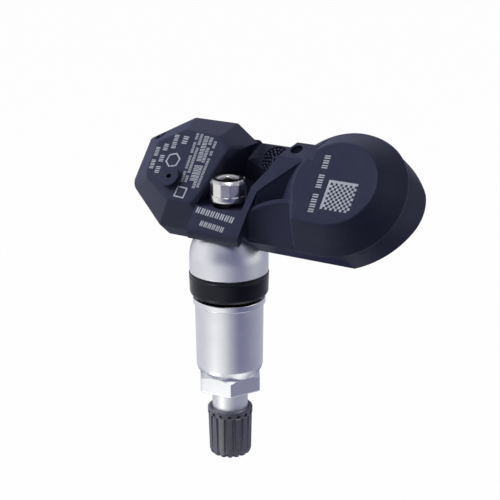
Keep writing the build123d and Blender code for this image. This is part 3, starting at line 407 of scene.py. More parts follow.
def frame_ring(name, outline, width, low, high):
    """Printed outline: a band of a width inside a closed outline, with a flat top and short walls."""
    outline = np.asarray(outline, float)
    middle = outline.mean(axis=0)
    reach = np.linalg.norm(outline - middle, axis=1, keepdims=True)
    inner = middle + (outline - middle) * (1 - width / reach)
    rows = [(outline, low), (outline, high), (inner, high), (inner, low)]
    points = np.stack([on_lid(flat[:, 0], flat[:, 1], h) for flat, h in rows])
    return surface(name, points, grid_quads(*points.shape[:2], closed=True), sharp=30.0)


def foot_lip(name, section):
    """Stepped lip along the foot of the round lobe: the closed section of (out, up) points is carried along
    the straight front and round the arc of the foot, shrinks towards both ends and is closed there."""
    turn = np.radians(np.linspace(-90, FOOT_END, FOOT_ROWS))
    straight = np.linspace(FOOT_START, FOOT_X, FOOT_ROWS // 10, endpoint=False)
    flat = np.zeros_like(straight)
    out_x = np.concatenate([flat, np.cos(turn)])[:, None]
    out_y = np.concatenate([flat - 1, np.sin(turn)])[:, None]
    x = np.concatenate([straight, np.full_like(turn, FOOT_X)])[:, None] + FOOT_R * out_x
    y = FOOT_Y + FOOT_R * out_y
    share = np.linspace(0, 1, len(x))
    size = np.minimum(share / LIP_FADE_IN, (1 - share) / LIP_FADE_OUT)
    size = np.clip(size, LIP_LEAST, 1)[:, None]
    away, rise = size * section[:, 0], size * section[:, 1]
    points = on_lid(x + out_x * away, y + out_y * away, FOOT_H + rise)
    return tube(name, points, points[[0, -1]].mean(axis=1), flip=True)


# Finishes: scales are in waves per metre, distances in metres


def node_tree(owner):
    """Nodes and links of a new material or world."""
    owner.use_nodes = True
    return owner.node_tree.nodes, owner.node_tree.links


class Finish:
    """A node material under construction, with short ways to add the usual nodes."""

    def __init__(self, name, colour, roughness, metallic=0.0, **sockets):
        self.material = bpy.data.materials.new(name)
        self.nodes, self.links = node_tree(self.material)
        self.shader = self.nodes["Principled BSDF"]
        self.feed(self.shader, Base_Color=(*colour, 1), Roughness=roughness, Metallic=metallic, **sockets)
        self.place = self.nodes.new("ShaderNodeTexCoord").outputs["Object"]
        self.colour = colour
        self.roughness = roughness

    def feed(self, node, **inputs):
        """Links the node's inputs to sockets or sets them to values."""
        for name, value in inputs.items():
            socket = node.inputs[name.replace("_", " ")]
            if isinstance(value, bpy.types.NodeSocket):
                self.links.new(value, socket)
            else:
                socket.default_value = value

    def add(self, kind, **inputs):
        """New node with its inputs fed."""
        node = self.nodes.new(kind)
        self.feed(node, **inputs)
        return node

    def stretched(self, scale):
        """Object coordinates scaled per axis."""
        return self.add("ShaderNodeMapping", Vector=self.place, Scale=scale).outputs["Vector"]

    def noise(self, scale, detail=3.0, rough=0.55, vector=None):
        """Noise value at a scale."""
        node = self.add(
            "ShaderNodeTexNoise", Vector=vector or self.place, Scale=scale, Detail=detail, Roughness=rough)
        return node.outputs["Fac"]

    def spread(self, value, low, high, from_low=0.3, from_high=0.7):
        """The value remapped to run from low to high."""
        node = self.add(
            "ShaderNodeMapRange", Value=value, From_Min=from_low, From_Max=from_high, To_Min=low,
            To_Max=high)
        return node.outputs["Result"]

    def tint(self, value, dark, light):
        """Base colour that runs between two tones by a value."""
        node = self.nodes.new("ShaderNodeMix")
        node.data_type = "RGBA"
        self.feed(node, Factor=value, A=(*dark, 1), B=(*light, 1))
        self.feed(self.shader, Base_Color=node.outputs["Result"])

    def vary_colour(self, value, amount):
        """Base colour made lighter and darker by the given share."""
        dark = tuple(c * (1 - amount) for c in self.colour)
        light = tuple(min(1.0, c * (1 + amount)) for c in self.colour)
        self.tint(value, dark, light)

    def cloud(self, scale, amount, detail=4.0):
        """Base colour that goes lighter and darker in soft clouds."""
        self.vary_colour(self.spread(self.noise(scale, detail), 0, 1), amount)

    def vary_roughness(self, value, amount):
        """Roughness that goes up and down by the given amount."""
        span = self.spread(value, self.roughness - amount, self.roughness + amount)
        self.feed(self.shader, Roughness=span)

    def bump(self, height, distance, strength, under=None):
        """Relief from a height value, over an earlier normal if one is given."""
        node = self.add("ShaderNodeBump", Height=height, Distance=distance, Strength=strength)
        if under is not None:
            self.feed(node, Normal=under)
        self.feed(self.shader, Normal=node.outputs["Normal"])
        return node.outputs["Normal"]

    def grain(self, scale, distance, strength, detail=2.0):
        """Fine relief from noise."""
        return self.bump(self.noise(scale, detail), distance, strength)

    def soft_edges(self, radius):
        """Normal that rounds sharp edges by a radius."""
        node = self.add("ShaderNodeBevel", Radius=radius)
        node.samples = 8
        return node.outputs["Normal"]


def moulded_finish(colours, sizes):
    """Dark blue-grey moulding: fine spark-eroded grain, slight cloudiness, softened edges."""
    made = Finish(
        "housing_plastic", colours.housing, 0.4, Specular_IOR_Level=0.3, Specular_Tint=(0.76, 0.8, 1, 1))
    made.cloud(700, 0.08)
    grain = made.noise(5200, 2.0)
    made.vary_roughness(grain, 0.06)
    made.bump(grain, 0.00004, 0.35, made.soft_edges(sizes.soft_edge))
    return made.material


def dial_painted_light_finish(name, colour, share, roughness, gloss):
    """The moulding's colour scaled by a share, darker for painted shade and lighter for painted light, a
    little cloudy and grained.
    """
    made = Finish(name, tuple(share * c for c in colour), roughness, Specular_IOR_Level=gloss)
    made.cloud(700, 0.08)
    made.grain(5200, 0.00002, 0.3)
    return made.material


def printed_finish(colours):
    """Pale pad print, a little thin and uneven."""
    made = Finish("print_paint", colours.print_paint, 0.6)
    made.cloud(2600, 0.18, 3.0)
    made.grain(5200, 0.00002, 0.3)
    return made.material


def turned_marks(made, lines, line_bump):
    """Adds very fine rings across the axis over a fine grain, and small changes of gloss along them."""
    rings = made.noise(1.0, 3.0, 0.6, made.stretched((60, 60, lines)))
    made.vary_roughness(rings, 0.015)
    under = made.grain(4200, 0.000008, 0.2)
    made.bump(rings, 0.000002, line_bump, under)
    return made.material


def satin_finish(name, colour, roughness, lines, line_bump):
    """Turned metal: fine rings and a soft cloud of tone."""
    made = Finish(name, colour, roughness, 1.0)
    made.cloud(320, 0.03)
    return turned_marks(made, lines, line_bump)


def plated_finish_with_socket_shade(colour):
    """Bright plating with fine turned rings, with painted shade in the socket: the base colour is darkened
    inside the socket, by the distance from the axis."""
    made = Finish("screw_plating_socket_shade", colour, 0.2, 1.0)
    reach = made.nodes.new("ShaderNodeVectorMath")
    reach.operation = "LENGTH"
    made.links.new(made.stretched((1, 1, 0)), reach.inputs[0])
    # painted shade: inside the socket the plating's colour drops to about a third
    clear = made.spread(reach.outputs["Value"], 0, 1, 2.3 * MM, 2.6 * MM)
    made.tint(clear, tuple(0.35 * c for c in colour), colour)
    return turned_marks(made, 7000, 0.1)


def rubber_finish(name, colour):
    """Moulded rubber: faint bloom in the colour, fine matte grain."""
    made = Finish(name, colour, 0.19, Specular_IOR_Level=0.35, Specular_Tint=(0.8, 0.83, 1, 1))
    made.cloud(900, 0.25)
    made.vary_roughness(made.noise(1500), 0.08)
    made.grain(4200, 0.00002, 0.2)
    return made.material


def cap_finish(colours):
    """Dark grey cap plastic with a slight sheen and drawn grain."""
    made = Finish("cap_plastic", colours.cap, 0.32, Specular_IOR_Level=0.8)
    made.cloud(600, 0.10)
    made.vary_roughness(made.noise(2400), 0.07)
    made.grain(3800, 0.00003, 0.25, 3.0)
    return made.material


def plain_finish(name, colour, roughness, metallic, cloud, grain, amount):
    """Finish of an inner piece: cloudy tone, uneven gloss and a fine grain."""
    made = Finish(name, colour, roughness, metallic)
    made.cloud(cloud, amount, 3.0)
    made.vary_roughness(made.noise(cloud * 3), 0.06)
    made.grain(grain, 0.00002, 0.25)
    return made.material


def wound_finish(name, colour, pitch):
    """Enamelled wire: fine parallel turns along X, as a wave in tone and relief."""
    made = Finish(name, colour, 0.32, 0.85)
    scale = 1 / pitch / 6.2
    wave = made.add("ShaderNodeTexWave", Vector=made.place, Scale=scale, Distortion=0.4)
    wave.bands_direction = "X"
    made.vary_colour(wave.outputs["Fac"], 0.25)
    made.bump(wave.outputs["Fac"], 0.00006, 0.6)
    return made.material


def board_finish():
    """Green laminate with copper tracks under the mask."""
    made = Finish("board_laminate", (0.02, 0.12, 0.05), 0.4)
    tracks = made.add(
        "ShaderNodeTexBrick", Vector=made.place, Scale=700, Mortar_Size=0.03,
        Color1=(0.016, 0.10, 0.042, 1), Color2=(0.02, 0.125, 0.05, 1), Mortar=(0.05, 0.2, 0.08, 1))
    made.feed(made.shader, Base_Color=tracks.outputs["Color"])
    made.bump(tracks.outputs["Fac"], 0.00003, 0.3)
    return made.material


def dress(piece, body, slot, material, *nodes):
    """Gives a piece its finish, the body it moves with and the nodes it stands for; the slot is not used."""
    piece.data.materials.clear()
    piece.data.materials.append(material)
    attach(piece, body)
    if nodes:
        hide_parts(*nodes)


# Pieces


class BuildStep:
    """A step of the build: it gets the scene's three property groups."""

    def execute(self, context):
        self.build(*settings())
        return {"FINISHED"}


class SENSOR_OT_housing(BuildStep, bpy.types.Operator):
    """Moulded housing: the solid's own surface, merged and smoothed between its creases, and its lip"""

    bl_idname = "sensor.housing"
    bl_label = "Housing"

    def build(self, colours, sizes, stage):
        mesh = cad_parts["housing"].data.copy()
        mesh.name = "housing_shell"
        work = bmesh.new()
        work.from_mesh(mesh)
        bmesh.ops.remove_doubles(work, verts=work.verts, dist=WELD * MM)
        work.to_mesh(mesh)
        work.free()
        smooth(mesh, HOUSING_CREASE)
        piece = linked("housing_shell", mesh)
        flatten = piece.modifiers.new("flat_faces", "WEIGHTED_NORMAL")
        flatten.mode = "FACE_AREA"
        flatten.weight = 80
        flatten.keep_sharp = True
        finish = moulded_finish(colours, sizes)
        dress(piece, "sensor", "housing_plastic", finish, "housing")
        dress(foot_lip("lobe_lip", rounded_loop(LIP_SECTION)), "sensor", "housing_plastic", finish)


def tick_line(start, end, height, words):
    """Even upright ticks that stand for one printed line from start to end in the lid's plane: the line is
    cut in cells, each word is a run of cells with a free one after it, and every cell holds two ticks."""
    start, end = np.asarray(start, float), np.asarray(end, float)
    along = end - start
    length = np.linalg.norm(along)
    along = along / length
    kept = np.concatenate([np.append(np.ones(word), 0) for word in words])[:-1].astype(bool)
    cells = np.nonzero(kept)[0]
    step = length / len(kept)
    order = np.arange(2 * len(cells))
    first = (np.repeat(cells, 2) + TICK_FIRST + TICK_STEP * (order % 2)) * step
    middles = start + first[:, None] * along
    sizes = np.broadcast_to([TICK_WIDTH * step, height], (len(order), 2))
    return middles, sizes, np.full(len(order), math.atan2(along[1], along[0]))


def print_lines(name, lines, level, lift):
    """All ticks of several printed lines as one piece, at a level of the housing."""
    middles, sizes, turns = zip(*(tick_line(*line) for line in lines))
    return pads(
        name, np.vstack(middles), np.vstack(sizes), np.concatenate(turns), level - lift, level + lift)


def chequer(name, low, high):
    """Square of alternate cells, with all cells along two of its sides."""
    last = CHEQUER_CELLS - 1
    grid = np.stack(np.meshgrid(np.arange(CHEQUER_CELLS), np.arange(CHEQUER_CELLS)), axis=-1).reshape(-1, 2)
    edge = (grid[:, 0] == 0) | (grid[:, 1] == last)
    grid = grid[edge | (grid.sum(axis=1) % 2 == 0)]
    pitch = CHEQUER_SIDE / CHEQUER_CELLS
    centres = np.array(CHEQUER_PLACE) + (grid - last / 2) * pitch
    return pads(name, centres, np.full((len(grid), 2), pitch), np.zeros(len(grid)), low, high)


class SENSOR_OT_print(BuildStep, bpy.types.Operator):
    """Pale print: plain bars in lines, a hexagon and a square outline, and a chequered square"""

    bl_idname = "sensor.print"
    bl_label = "Print"

    def build(self, colours, sizes, stage):
        paint = printed_finish(colours)
        lift = sizes.print_height / MM
        low, high = LOBE_TOP - lift, LOBE_TOP + lift
        hexagon = on_circle(HEXAGON_PLACE, HEXAGON_R, angles(6, HEXAGON_TURN))
        pieces = [
            print_lines("print_lobe", LOBE_LINES, LOBE_TOP, lift),
            print_lines("print_plate", PLATE_LINES, PLATE_TOP, lift),
            print_lines("print_disc", DISC_LINES, LOBE_TOP, lift),
            frame_ring("print_hexagon", hexagon, HEXAGON_LINE, low, high),
            frame_ring("print_square", SQUARE, SQUARE_LINE, low, high),
            chequer("print_chequer", low, high)]
        for piece in pieces:
            dress(piece, "sensor", "housing_plastic", paint)


class SENSOR_OT_dial(BuildStep, bpy.types.Operator):
    """Moulded date dial on the channel floor: rings of small studs round a small ring, made lighter as
    painted light, on a dark sheet of painted shade
    """

    bl_idname = "sensor.dial"
    bl_label = "Date dial"

    def build(self, colours, sizes, stage):
        # painted shade: the dial's face is a dark sheet at 0.12 of the housing's colour
        face = dial_painted_light_finish("dial_face_painted_shade", colours.housing, 0.12, 0.7, 0.1)
        # painted light: the studs and ring are a lighter, glossier copy of the housing's colour
        lit_marks = dial_painted_light_finish("dial_marks_painted_light", colours.housing, 2.2, 0.3, 0.5)
        low, high = DIAL_FLOOR - DIAL_SINK, DIAL_FLOOR + STUD_RISE
        counts, reaches = zip(*STUD_RINGS)
        turn = np.concatenate([angles(count, STUD_START) for count in counts])
        centres = on_circle(DIAL_PLACE, np.repeat(reaches, counts), turn)
        studs = pads("dial_studs", centres, np.full((len(turn), 2), STUD_SIDE), turn, low, high)
        dress(studs, "sensor", "housing_plastic", lit_marks)
        around = angles(CIRCLE_STEPS)
        circle = on_circle(DIAL_PLACE, DIAL_RING_R, around)
        ring = frame_ring("dial_ring", circle, DIAL_RING_BAND, low, high)
        dress(ring, "sensor", "housing_plastic", lit_marks)
        # the dark sheet of painted shade over the dial's floor
        circle = on_circle(DIAL_PLACE, DIAL_R, around)
        floor = frame_ring("dial_painted_shade_sheet", circle, DIAL_BAND, low, DIAL_FLOOR + DIAL_SKIN)
        dress(floor, "sensor", "housing_plastic", face)


def thread_wave(z, turn, pitch):
    """Height of a right-handed thread from root 0 to crest 1: a clipped triangle wave of z less the lead."""
    phase = (z / pitch - turn / FULL_TURN) % 1.0
    return np.clip(FLANK_GAIN * (1 - np.abs(2 * phase - 1)) - ROOT_CUT, 0, 1)


class SENSOR_OT_stem(BuildStep, bpy.types.Operator):
    """Valve stem: ball base, band, threaded shaft, plain tip and cap thread, bored through"""

    bl_idname = "sensor.stem"
    bl_label = "Valve stem"

    def build(self, colours, sizes, stage):
        bow = np.linspace(0.02, math.acos(SCREW_HOLE / BALL_R), BALL_ROWS)
        ball = on_circle((0, BALL_Z), BALL_R, bow)
        shaft = [
            (CORE_POCKET, STEM_LOW, 0.1), (3.25, STEM_LOW, 0.1), (STEM_TIP, STEM_LOW + 0.5, 0.1),
            (STEM_TIP, TIP_END, 0.05), (STEM_NECK, TIP_END + 0.2, 0.05),
            (STEM_NECK, SHAFT_START - 0.4, 0.05), (STEM_SHAFT, SHAFT_START, 0.05),
            (STEM_SHAFT, GROMMET_TOP, 0.05), (BALL_R, GROMMET_TOP, 2 * sizes.edge / MM), (BALL_R, BALL_Z, 0)]
        bore = [
            (SCREW_HOLE, SCREW_FLOOR, 0), (STEM_BORE, SCREW_FLOOR, 0), (STEM_BORE, CORE_CONE, 0),
            (CORE_POCKET, CORE_FLOOR, 0)]
        outside = rounded_loop(shaft + [(*spot, 0) for spot in ball] + bore)
        outside = densify(outside, TIP_STEP, STEM_LOW + 0.6, TIP_END - 0.1)
        outside = densify(outside, SHAFT_STEP, SHAFT_START + 0.1, GROMMET_TOP - 0.1)
        turn = angles(STEM_COLUMNS)[None]
        reach, z = outside[:, :1], outside[:, 1:]
        tip = (reach > STEM_TIP - THREAD_SKIN) & (z < TIP_END - 0.1) & (z > STEM_LOW + 0.4)
        fit = (reach > STEM_SHAFT - THREAD_SKIN) & (z > SHAFT_START + 0.2) & (z < GROMMET_LOW - 0.1)
        depth = sizes.thread_depth / MM
        r = reach - tip * depth * (1 - thread_wave(z, turn, sizes.cap_pitch / MM))
        r = r - fit * SHAFT_DEEPER * depth * (1 - thread_wave(z, turn, sizes.nut_pitch / MM))
        piece = revolve("stem_turned", list(zip(r, z)), turn)
        blasted = satin_finish("blasted_aluminium", colours.aluminium, 0.4, 9000, 0.08)
        dress(piece, "valve", "stem_aluminium", blasted, "valve_stem")


class SENSOR_OT_grommet(BuildStep, bpy.types.Operator):
    """Rubber grommet: collar with a full lower round and a fine upper lip, and its tapered neck"""

    bl_idname = "sensor.grommet"
    bl_label = "Grommet"

    def build(self, colours, sizes, stage):
        loop = rounded_loop([
            (STEM_SHAFT, GROMMET_LOW, 0.1), (5.3, GROMMET_LOW, 0.25), (5.6, -0.9, 0.3), (5.6, 0, 0.2),
            (COLLAR_R - 0.13, 0, 2.0), (COLLAR_R, 4.05, 0.1), (COLLAR_R - 0.07, 4.2, 0.06),
            (COLLAR_R - 0.02, 4.35, 0.06), (COLLAR_R + 0.03, GROMMET_TOP, 0.28),
            (STEM_SHAFT, GROMMET_TOP, 0.05)], 8)
        piece = revolve("grommet_moulded", loop, angles(sizes.around)[None])
        rubber = rubber_finish("grommet_rubber", colours.rubber)
        dress(piece, "valve", "grommet_rubber", rubber, "grommet")


class SENSOR_OT_washer(BuildStep, bpy.types.Operator):
    """Cup washer with a rolled bright rim"""

    bl_idname = "sensor.washer"
    bl_label = "Cup washer"

    def build(self, colours, sizes, stage):
        loop = rounded_loop([
            (WASHER_BORE, WASHER_LOW, 0.06), (WASHER_R, WASHER_LOW, 0.12), (WASHER_R, WASHER_HIGH, 0.17),
            (6.92, WASHER_HIGH, 0.15), (6.54, WASHER_HIGH - WASHER_LIP, 0.15),
            (WASHER_BORE, WASHER_HIGH - WASHER_LIP, 0.06)], 6)
        piece = revolve("washer_rolled", loop, angles(sizes.around)[None])
        bright = satin_finish("washer_polish", colours.bright, 0.06, 14000, 0.08)
        dress(piece, "washer", "washer_bright", bright, "clamp_washer")


class SENSOR_OT_nut(BuildStep, bpy.types.Operator):
    """Union nut: tapered sleeve, cone and a hexagon whose chamfer cuts curved edges"""

    bl_idname = "sensor.nut"
    bl_label = "Union nut"

    def build(self, colours, sizes, stage):
        low, high = NUT_LOW, NUT_HIGH
        edge = sizes.edge / MM
        turn = angles(FACET_COLUMNS, HEX_CORNER)[None]
        six = polygon_radius(turn, 6, HEX_FLAT, HEX_CORNER, HEX_SOFT)
        cut = CONE_TOP - (six - CONE_R) / CONE_SLOPE
        sleeve = rounded_loop([
            (5.95, low + 3.2, 0), (6.0, low + 3.52, 0.25), (6.55, low + 4.5, 0.5),
            (6.75, low + 5.25, 0.5), (6.92, high, 0.16), (NUT_POCKET, high, 0.1),
            (NUT_POCKET, NUT_STEP, 0), (NUT_BORE, NUT_STEP, 0), (NUT_BORE, low, 0.25),
            (5.2, low, 0)], 6)
        hexagon = [
            (six - 0.35, low), (six - 2 * edge, low), (six - edge, low + 0.04),
            (six - 0.3 * edge, low + 0.1), (six, low + 0.2), (six, low + 0.3),
            (six, cut - 0.15), (six, cut - 0.05), (six - 0.01, cut + 0.01),
            ((six + CONE_R) / 2, (cut + CONE_TOP) / 2), (CONE_R, CONE_TOP)]
        piece = revolve("nut_turned", hexagon + list(sleeve[1:]), turn)
        satin = satin_finish("satin_aluminium", colours.aluminium, 0.3, 9000, 0.12)
        dress(piece, "nut", "nut_aluminium", satin, "union_nut")


class SENSOR_OT_screw(BuildStep, bpy.types.Operator):
    """Hollow screw: round foot, twelve rolled facets, coned hexagon socket and a small burr on the rim"""

    bl_idname = "sensor.screw"
    bl_label = "Hollow screw"

    def build(self, colours, sizes, stage):
        foot, top = SCREW_SEAT, SCREW_HIGH
        turn = angles(FACET_COLUMNS, SCREW_CORNER)[None]
        twelve = polygon_radius(turn, 12, FACET_FLAT, SCREW_CORNER, FACET_SOFT)
        socket = polygon_radius(turn, 6, SOCKET_FLAT, SCREW_CORNER, SOCKET_SOFT)
        mouth = top - (SOCKET_MOUTH - socket)
        off = (turn - BURR_TURN + math.pi) % FULL_TURN - math.pi
        burr = np.exp(-(off / BURR_WIDTH) ** 2)
        shank = [
            (SCREW_BORE, SCREW_LOW), (2.2, SCREW_LOW), (SCREW_R, SCREW_LOW + 0.3), (SCREW_R, foot - 0.05)]
        flange = [
            (2.55, foot), (2.9, foot), (3.0, foot + 0.04), (3.58, foot + 0.6), (3.64, foot + 0.7),
            (SCREW_FLANGE, foot + 0.8), (SCREW_FLANGE, foot + 1.62), (3.62, foot + 1.72)]
        facets = [
            (twelve * 0.5 + 1.8, foot + 1.8), (twelve, foot + 1.9), (twelve, foot + 2.0),
            (twelve, foot + 4.1), (twelve, foot + 4.2), (twelve - 0.03, foot + 4.28)]
        rim = [
            (3.16 + 0.12 * burr, top - 0.1 + 0.08 * burr), (3.1 + 0.16 * burr, top - 0.03 + 0.16 * burr),
            (3.0 + 0.1 * burr, top + 0.14 * burr), (2.93, top - 0.01)]
        inside = [
            (socket + 0.04, mouth + 0.06), (socket, mouth - 0.02), (socket, mouth - 0.1),
            (socket, SOCKET_FLOOR + 0.1), (socket - 0.05, SOCKET_FLOOR), (1.2, SOCKET_FLOOR),
            (SCREW_BORE, SOCKET_FLOOR - 0.1)]
        piece = revolve("screw_plated", shank + flange + facets + rim + inside, turn)
        dress(piece, "valve", "screw_nickel", plated_finish_with_socket_shade(colours.nickel), "hollow_screw")


def round_cut(across, radius):
    """Square of the depth of a round cut at a distance across from its middle, nothing outside it."""
    return np.clip(radius ** 2 - across ** 2, 0, None)


class SENSOR_OT_cap(BuildStep, bpy.types.Operator):
    """Valve cap: fluted skirt with a scalloped end, and a rim with small windows"""

    bl_idname = "sensor.cap"
    bl_label = "Valve cap"

    def build(self, colours, sizes, stage):
        low, high = CAP_LOW, CAP_HIGH
        turn = angles(sizes.flutes * FLUTE_COLUMNS, FLUTE_START)[None]
        step = FULL_TURN / sizes.flutes
        off = (turn - FLUTE_START) % step - step / 2
        across = FLUTE_PLACE * np.sin(off)
        flute = round_cut(across, sizes.flute_round / MM)
        groove = np.where(flute > 0, FLUTE_PLACE * np.cos(off) - np.sqrt(flute), UNCUT)
        bowl = round_cut(across, SCALLOP_R)
        bowl = np.where(bowl > 0, SCALLOP_PLACE - np.sqrt(2 * bowl), UNCUT)
        bend = np.linspace(0, math.pi / 2, CAP_ROUND_ROWS)
        rounding = [
            CAP_ROUND_PLACE + CAP_ROUND * np.sin(bend), low + CAP_ROUND - CAP_ROUND * np.cos(bend)]
        skirt = [
            np.linspace(SKIRT_LOW, SKIRT_HIGH, SKIRT_ROWS),
            np.linspace(low + 1.0, CAP_COLLAR - 0.1, SKIRT_ROWS)]
        outer = np.vstack([
            [(CAP_MIDDLE, low), (2.0, low)], np.stack(rounding, axis=-1), np.stack(skirt, axis=-1)])
        reach, z = outer[:, :1], outer[:, 1:]
        body = np.minimum(np.minimum(reach, groove), bowl + z - low)
        lap = (turn - FLUTE_START + step / 2) % step - step / 2
        lip = np.where(np.abs(lap) * WINDOW_PLACE < WINDOW_HALF, WINDOW_FLOOR, CAP_R)
        rim = [
            (4.52, CAP_COLLAR), (4.6, CAP_COLLAR + 0.1), (CAP_R, CAP_COLLAR + 0.18), (CAP_R, high - 1.0),
            (lip, high - 0.998), (lip, high - 0.402), (CAP_R, high - 0.4), (CAP_R, high - 0.2),
            (4.58, high - 0.08), (4.5, high - 0.02), (4.42, high), (4.0, high),
            (3.9, high - 0.04), (3.82, high - 0.14), (CAP_BORE, high - 0.25),
            (CAP_BORE, low + CAP_END + 0.05), (3.75, low + CAP_END), (CAP_MIDDLE, low + CAP_END)]
        piece = revolve("cap_moulded", list(zip(body, z)) + rim, turn, closed=False)
        dress(piece, "cap", "cap_plastic", cap_finish(colours), "valve_cap")


class SENSOR_OT_inner(BuildStep, bpy.types.Operator):
    """Finishes of the pieces that keep their solid: board, cell, components, resin and valve core"""

    bl_idname = "sensor.inner"
    bl_label = "Inner pieces"

    def build(self, colours, sizes, stage):
        dressed = [
            (plain_finish("potting_resin", (0.012, 0.012, 0.014), 0.3, 0.0, 350, 1200, 0.3), "potting_fill"),
            (board_finish(), "circuit_board"),
            (plain_finish("cell_steel", (0.62, 0.62, 0.6), 0.28, 1.0, 260, 3000, 0.05), "coin_cell"),
            (plain_finish("strap_nickel", (0.66, 0.65, 0.6), 0.3, 1.0, 300, 3000, 0.06),
             "cell_tab_top", "cell_tab_bottom"),
            (plain_finish("package_black", (0.015, 0.015, 0.016), 0.55, 0.0, 900, 5000, 0.2),
             "sensor_package"),
            (plain_finish("soft_seal", (0.35, 0.33, 0.3), 0.6, 0.0, 700, 3000, 0.12), "port_gasket"),
            (plain_finish("can_steel", (0.7, 0.69, 0.64), 0.25, 1.0, 500, 3000, 0.05), "crystal"),
            (wound_finish("coil_copper", (0.6, 0.29, 0.14), 0.2 * MM), "lf_coil", "rf_inductor"),
            (plain_finish("chip_ceramic", (0.42, 0.33, 0.24), 0.5, 0.0, 1500, 5000, 0.12),
             "capacitor_a", "capacitor_b", "capacitor_c"),
            (satin_finish("core_brass", (0.62, 0.44, 0.18), 0.28, 9000, 0.12), "core_barrel", "core_pin"),
            (rubber_finish("core_rubber", (0.03, 0.03, 0.03)), "core_gasket", "core_seal", "cap_seal"),
            (plain_finish("spring_steel", (0.55, 0.55, 0.55), 0.3, 1.0, 900, 5000, 0.08), "core_spring")]
        for material, *names in dressed:
            for name in names:
                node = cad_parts[name]
                if node.material_slots:
                    node.material_slots[0].material = material
                else:
                    node.data.materials.append(material)


# Stage


def direction(turn, rise):
    """Direction seen from the object at a turn from the front to the right and a rise over the horizon."""
    return Vector((math.sin(turn) * math.cos(rise), -math.cos(turn) * math.cos(rise), math.sin(rise)))


def add_lamp(name, stage, side, height, reach, width, power, tone):
    """Soft lamp aimed at the object and hidden from camera and reflections; side is its angle in degrees
    from the camera's azimuth, to the right, and height its angle over the horizon."""
    lamp = bpy.data.lights.new(name, "AREA")
    lamp.shape = "RECTANGLE"
    lamp.size, lamp.size_y = width, LAMP_DEPTH
    lamp.energy, lamp.color = power, tone
    holder = linked(name, lamp)
    away = direction(stage.azimuth + math.radians(side), math.radians(height))
    holder.location = Vector(stage.aim) + away * reach
    holder.rotation_euler = away.to_track_quat("Z", "Y").to_euler()
    holder.visible_camera = False
    holder.visible_glossy = False


def white_for_eye(nodes, links, seen, other, white, output):
    """Shows a white shader to camera, glossy and transmission rays by the share seen, and the other shader
    for the rest."""
    path = nodes.new("ShaderNodeLightPath")
    ray = path.outputs["Is Camera Ray"]
    for kind in ("Is Glossy Ray", "Is Transmission Ray"):
        either = nodes.new("ShaderNodeMath")
        either.operation = "MAXIMUM"
        links.new(ray, either.inputs[0])
        links.new(path.outputs[kind], either.inputs[1])
        ray = either.outputs[0]
    share = nodes.new("ShaderNodeMath")
    share.operation = "MULTIPLY"
    share.inputs[1].default_value = seen
    links.new(ray, share.inputs[0])
    mix = nodes.new("ShaderNodeMixShader")
    links.new(share.outputs[0], mix.inputs[0])
    links.new(other.outputs[0], mix.inputs[1])
    links.new(white.outputs[0], mix.inputs[2])
    links.new(mix.outputs[0], nodes[output].inputs["Surface"])


def tent_tone(side, level):
    """Tone of the tent at degrees from the camera to the right and degrees of height: a low and a high band
    by the side, blended over a short climb, easing to an even top; a foot takes over below; soft highlights
    are added, each a gain times a bell in side and height."""
    around = np.abs(side)
    climb = np.interp(level, *TENT_CLIMB)
    tone = np.interp(side, *TENT_LOW) * (1 - climb) + np.interp(side, *TENT_HIGH) * climb
    over = np.interp(level, *TENT_OVER)
    tone = tone * (1 - over) + np.interp(around, *TENT_TOP) * over
    foot = np.interp(around, *TENT_FOOT) * np.interp(side, *TENT_FOOT_SIDES)
    lift = np.interp(around, *TENT_LIFT)
    under = np.clip((TENT_FOOT_LEVEL + lift - level) / TENT_FOOT_FADE, 0, 1)
    tone = tone * (1 - under) + foot * under
    for gain, middle, width, height, depth in TENT_GLOWS:
        tone = tone + gain * np.exp(-((side - middle) / width) ** 2 - ((level - height) / depth) ** 2)
    return tone


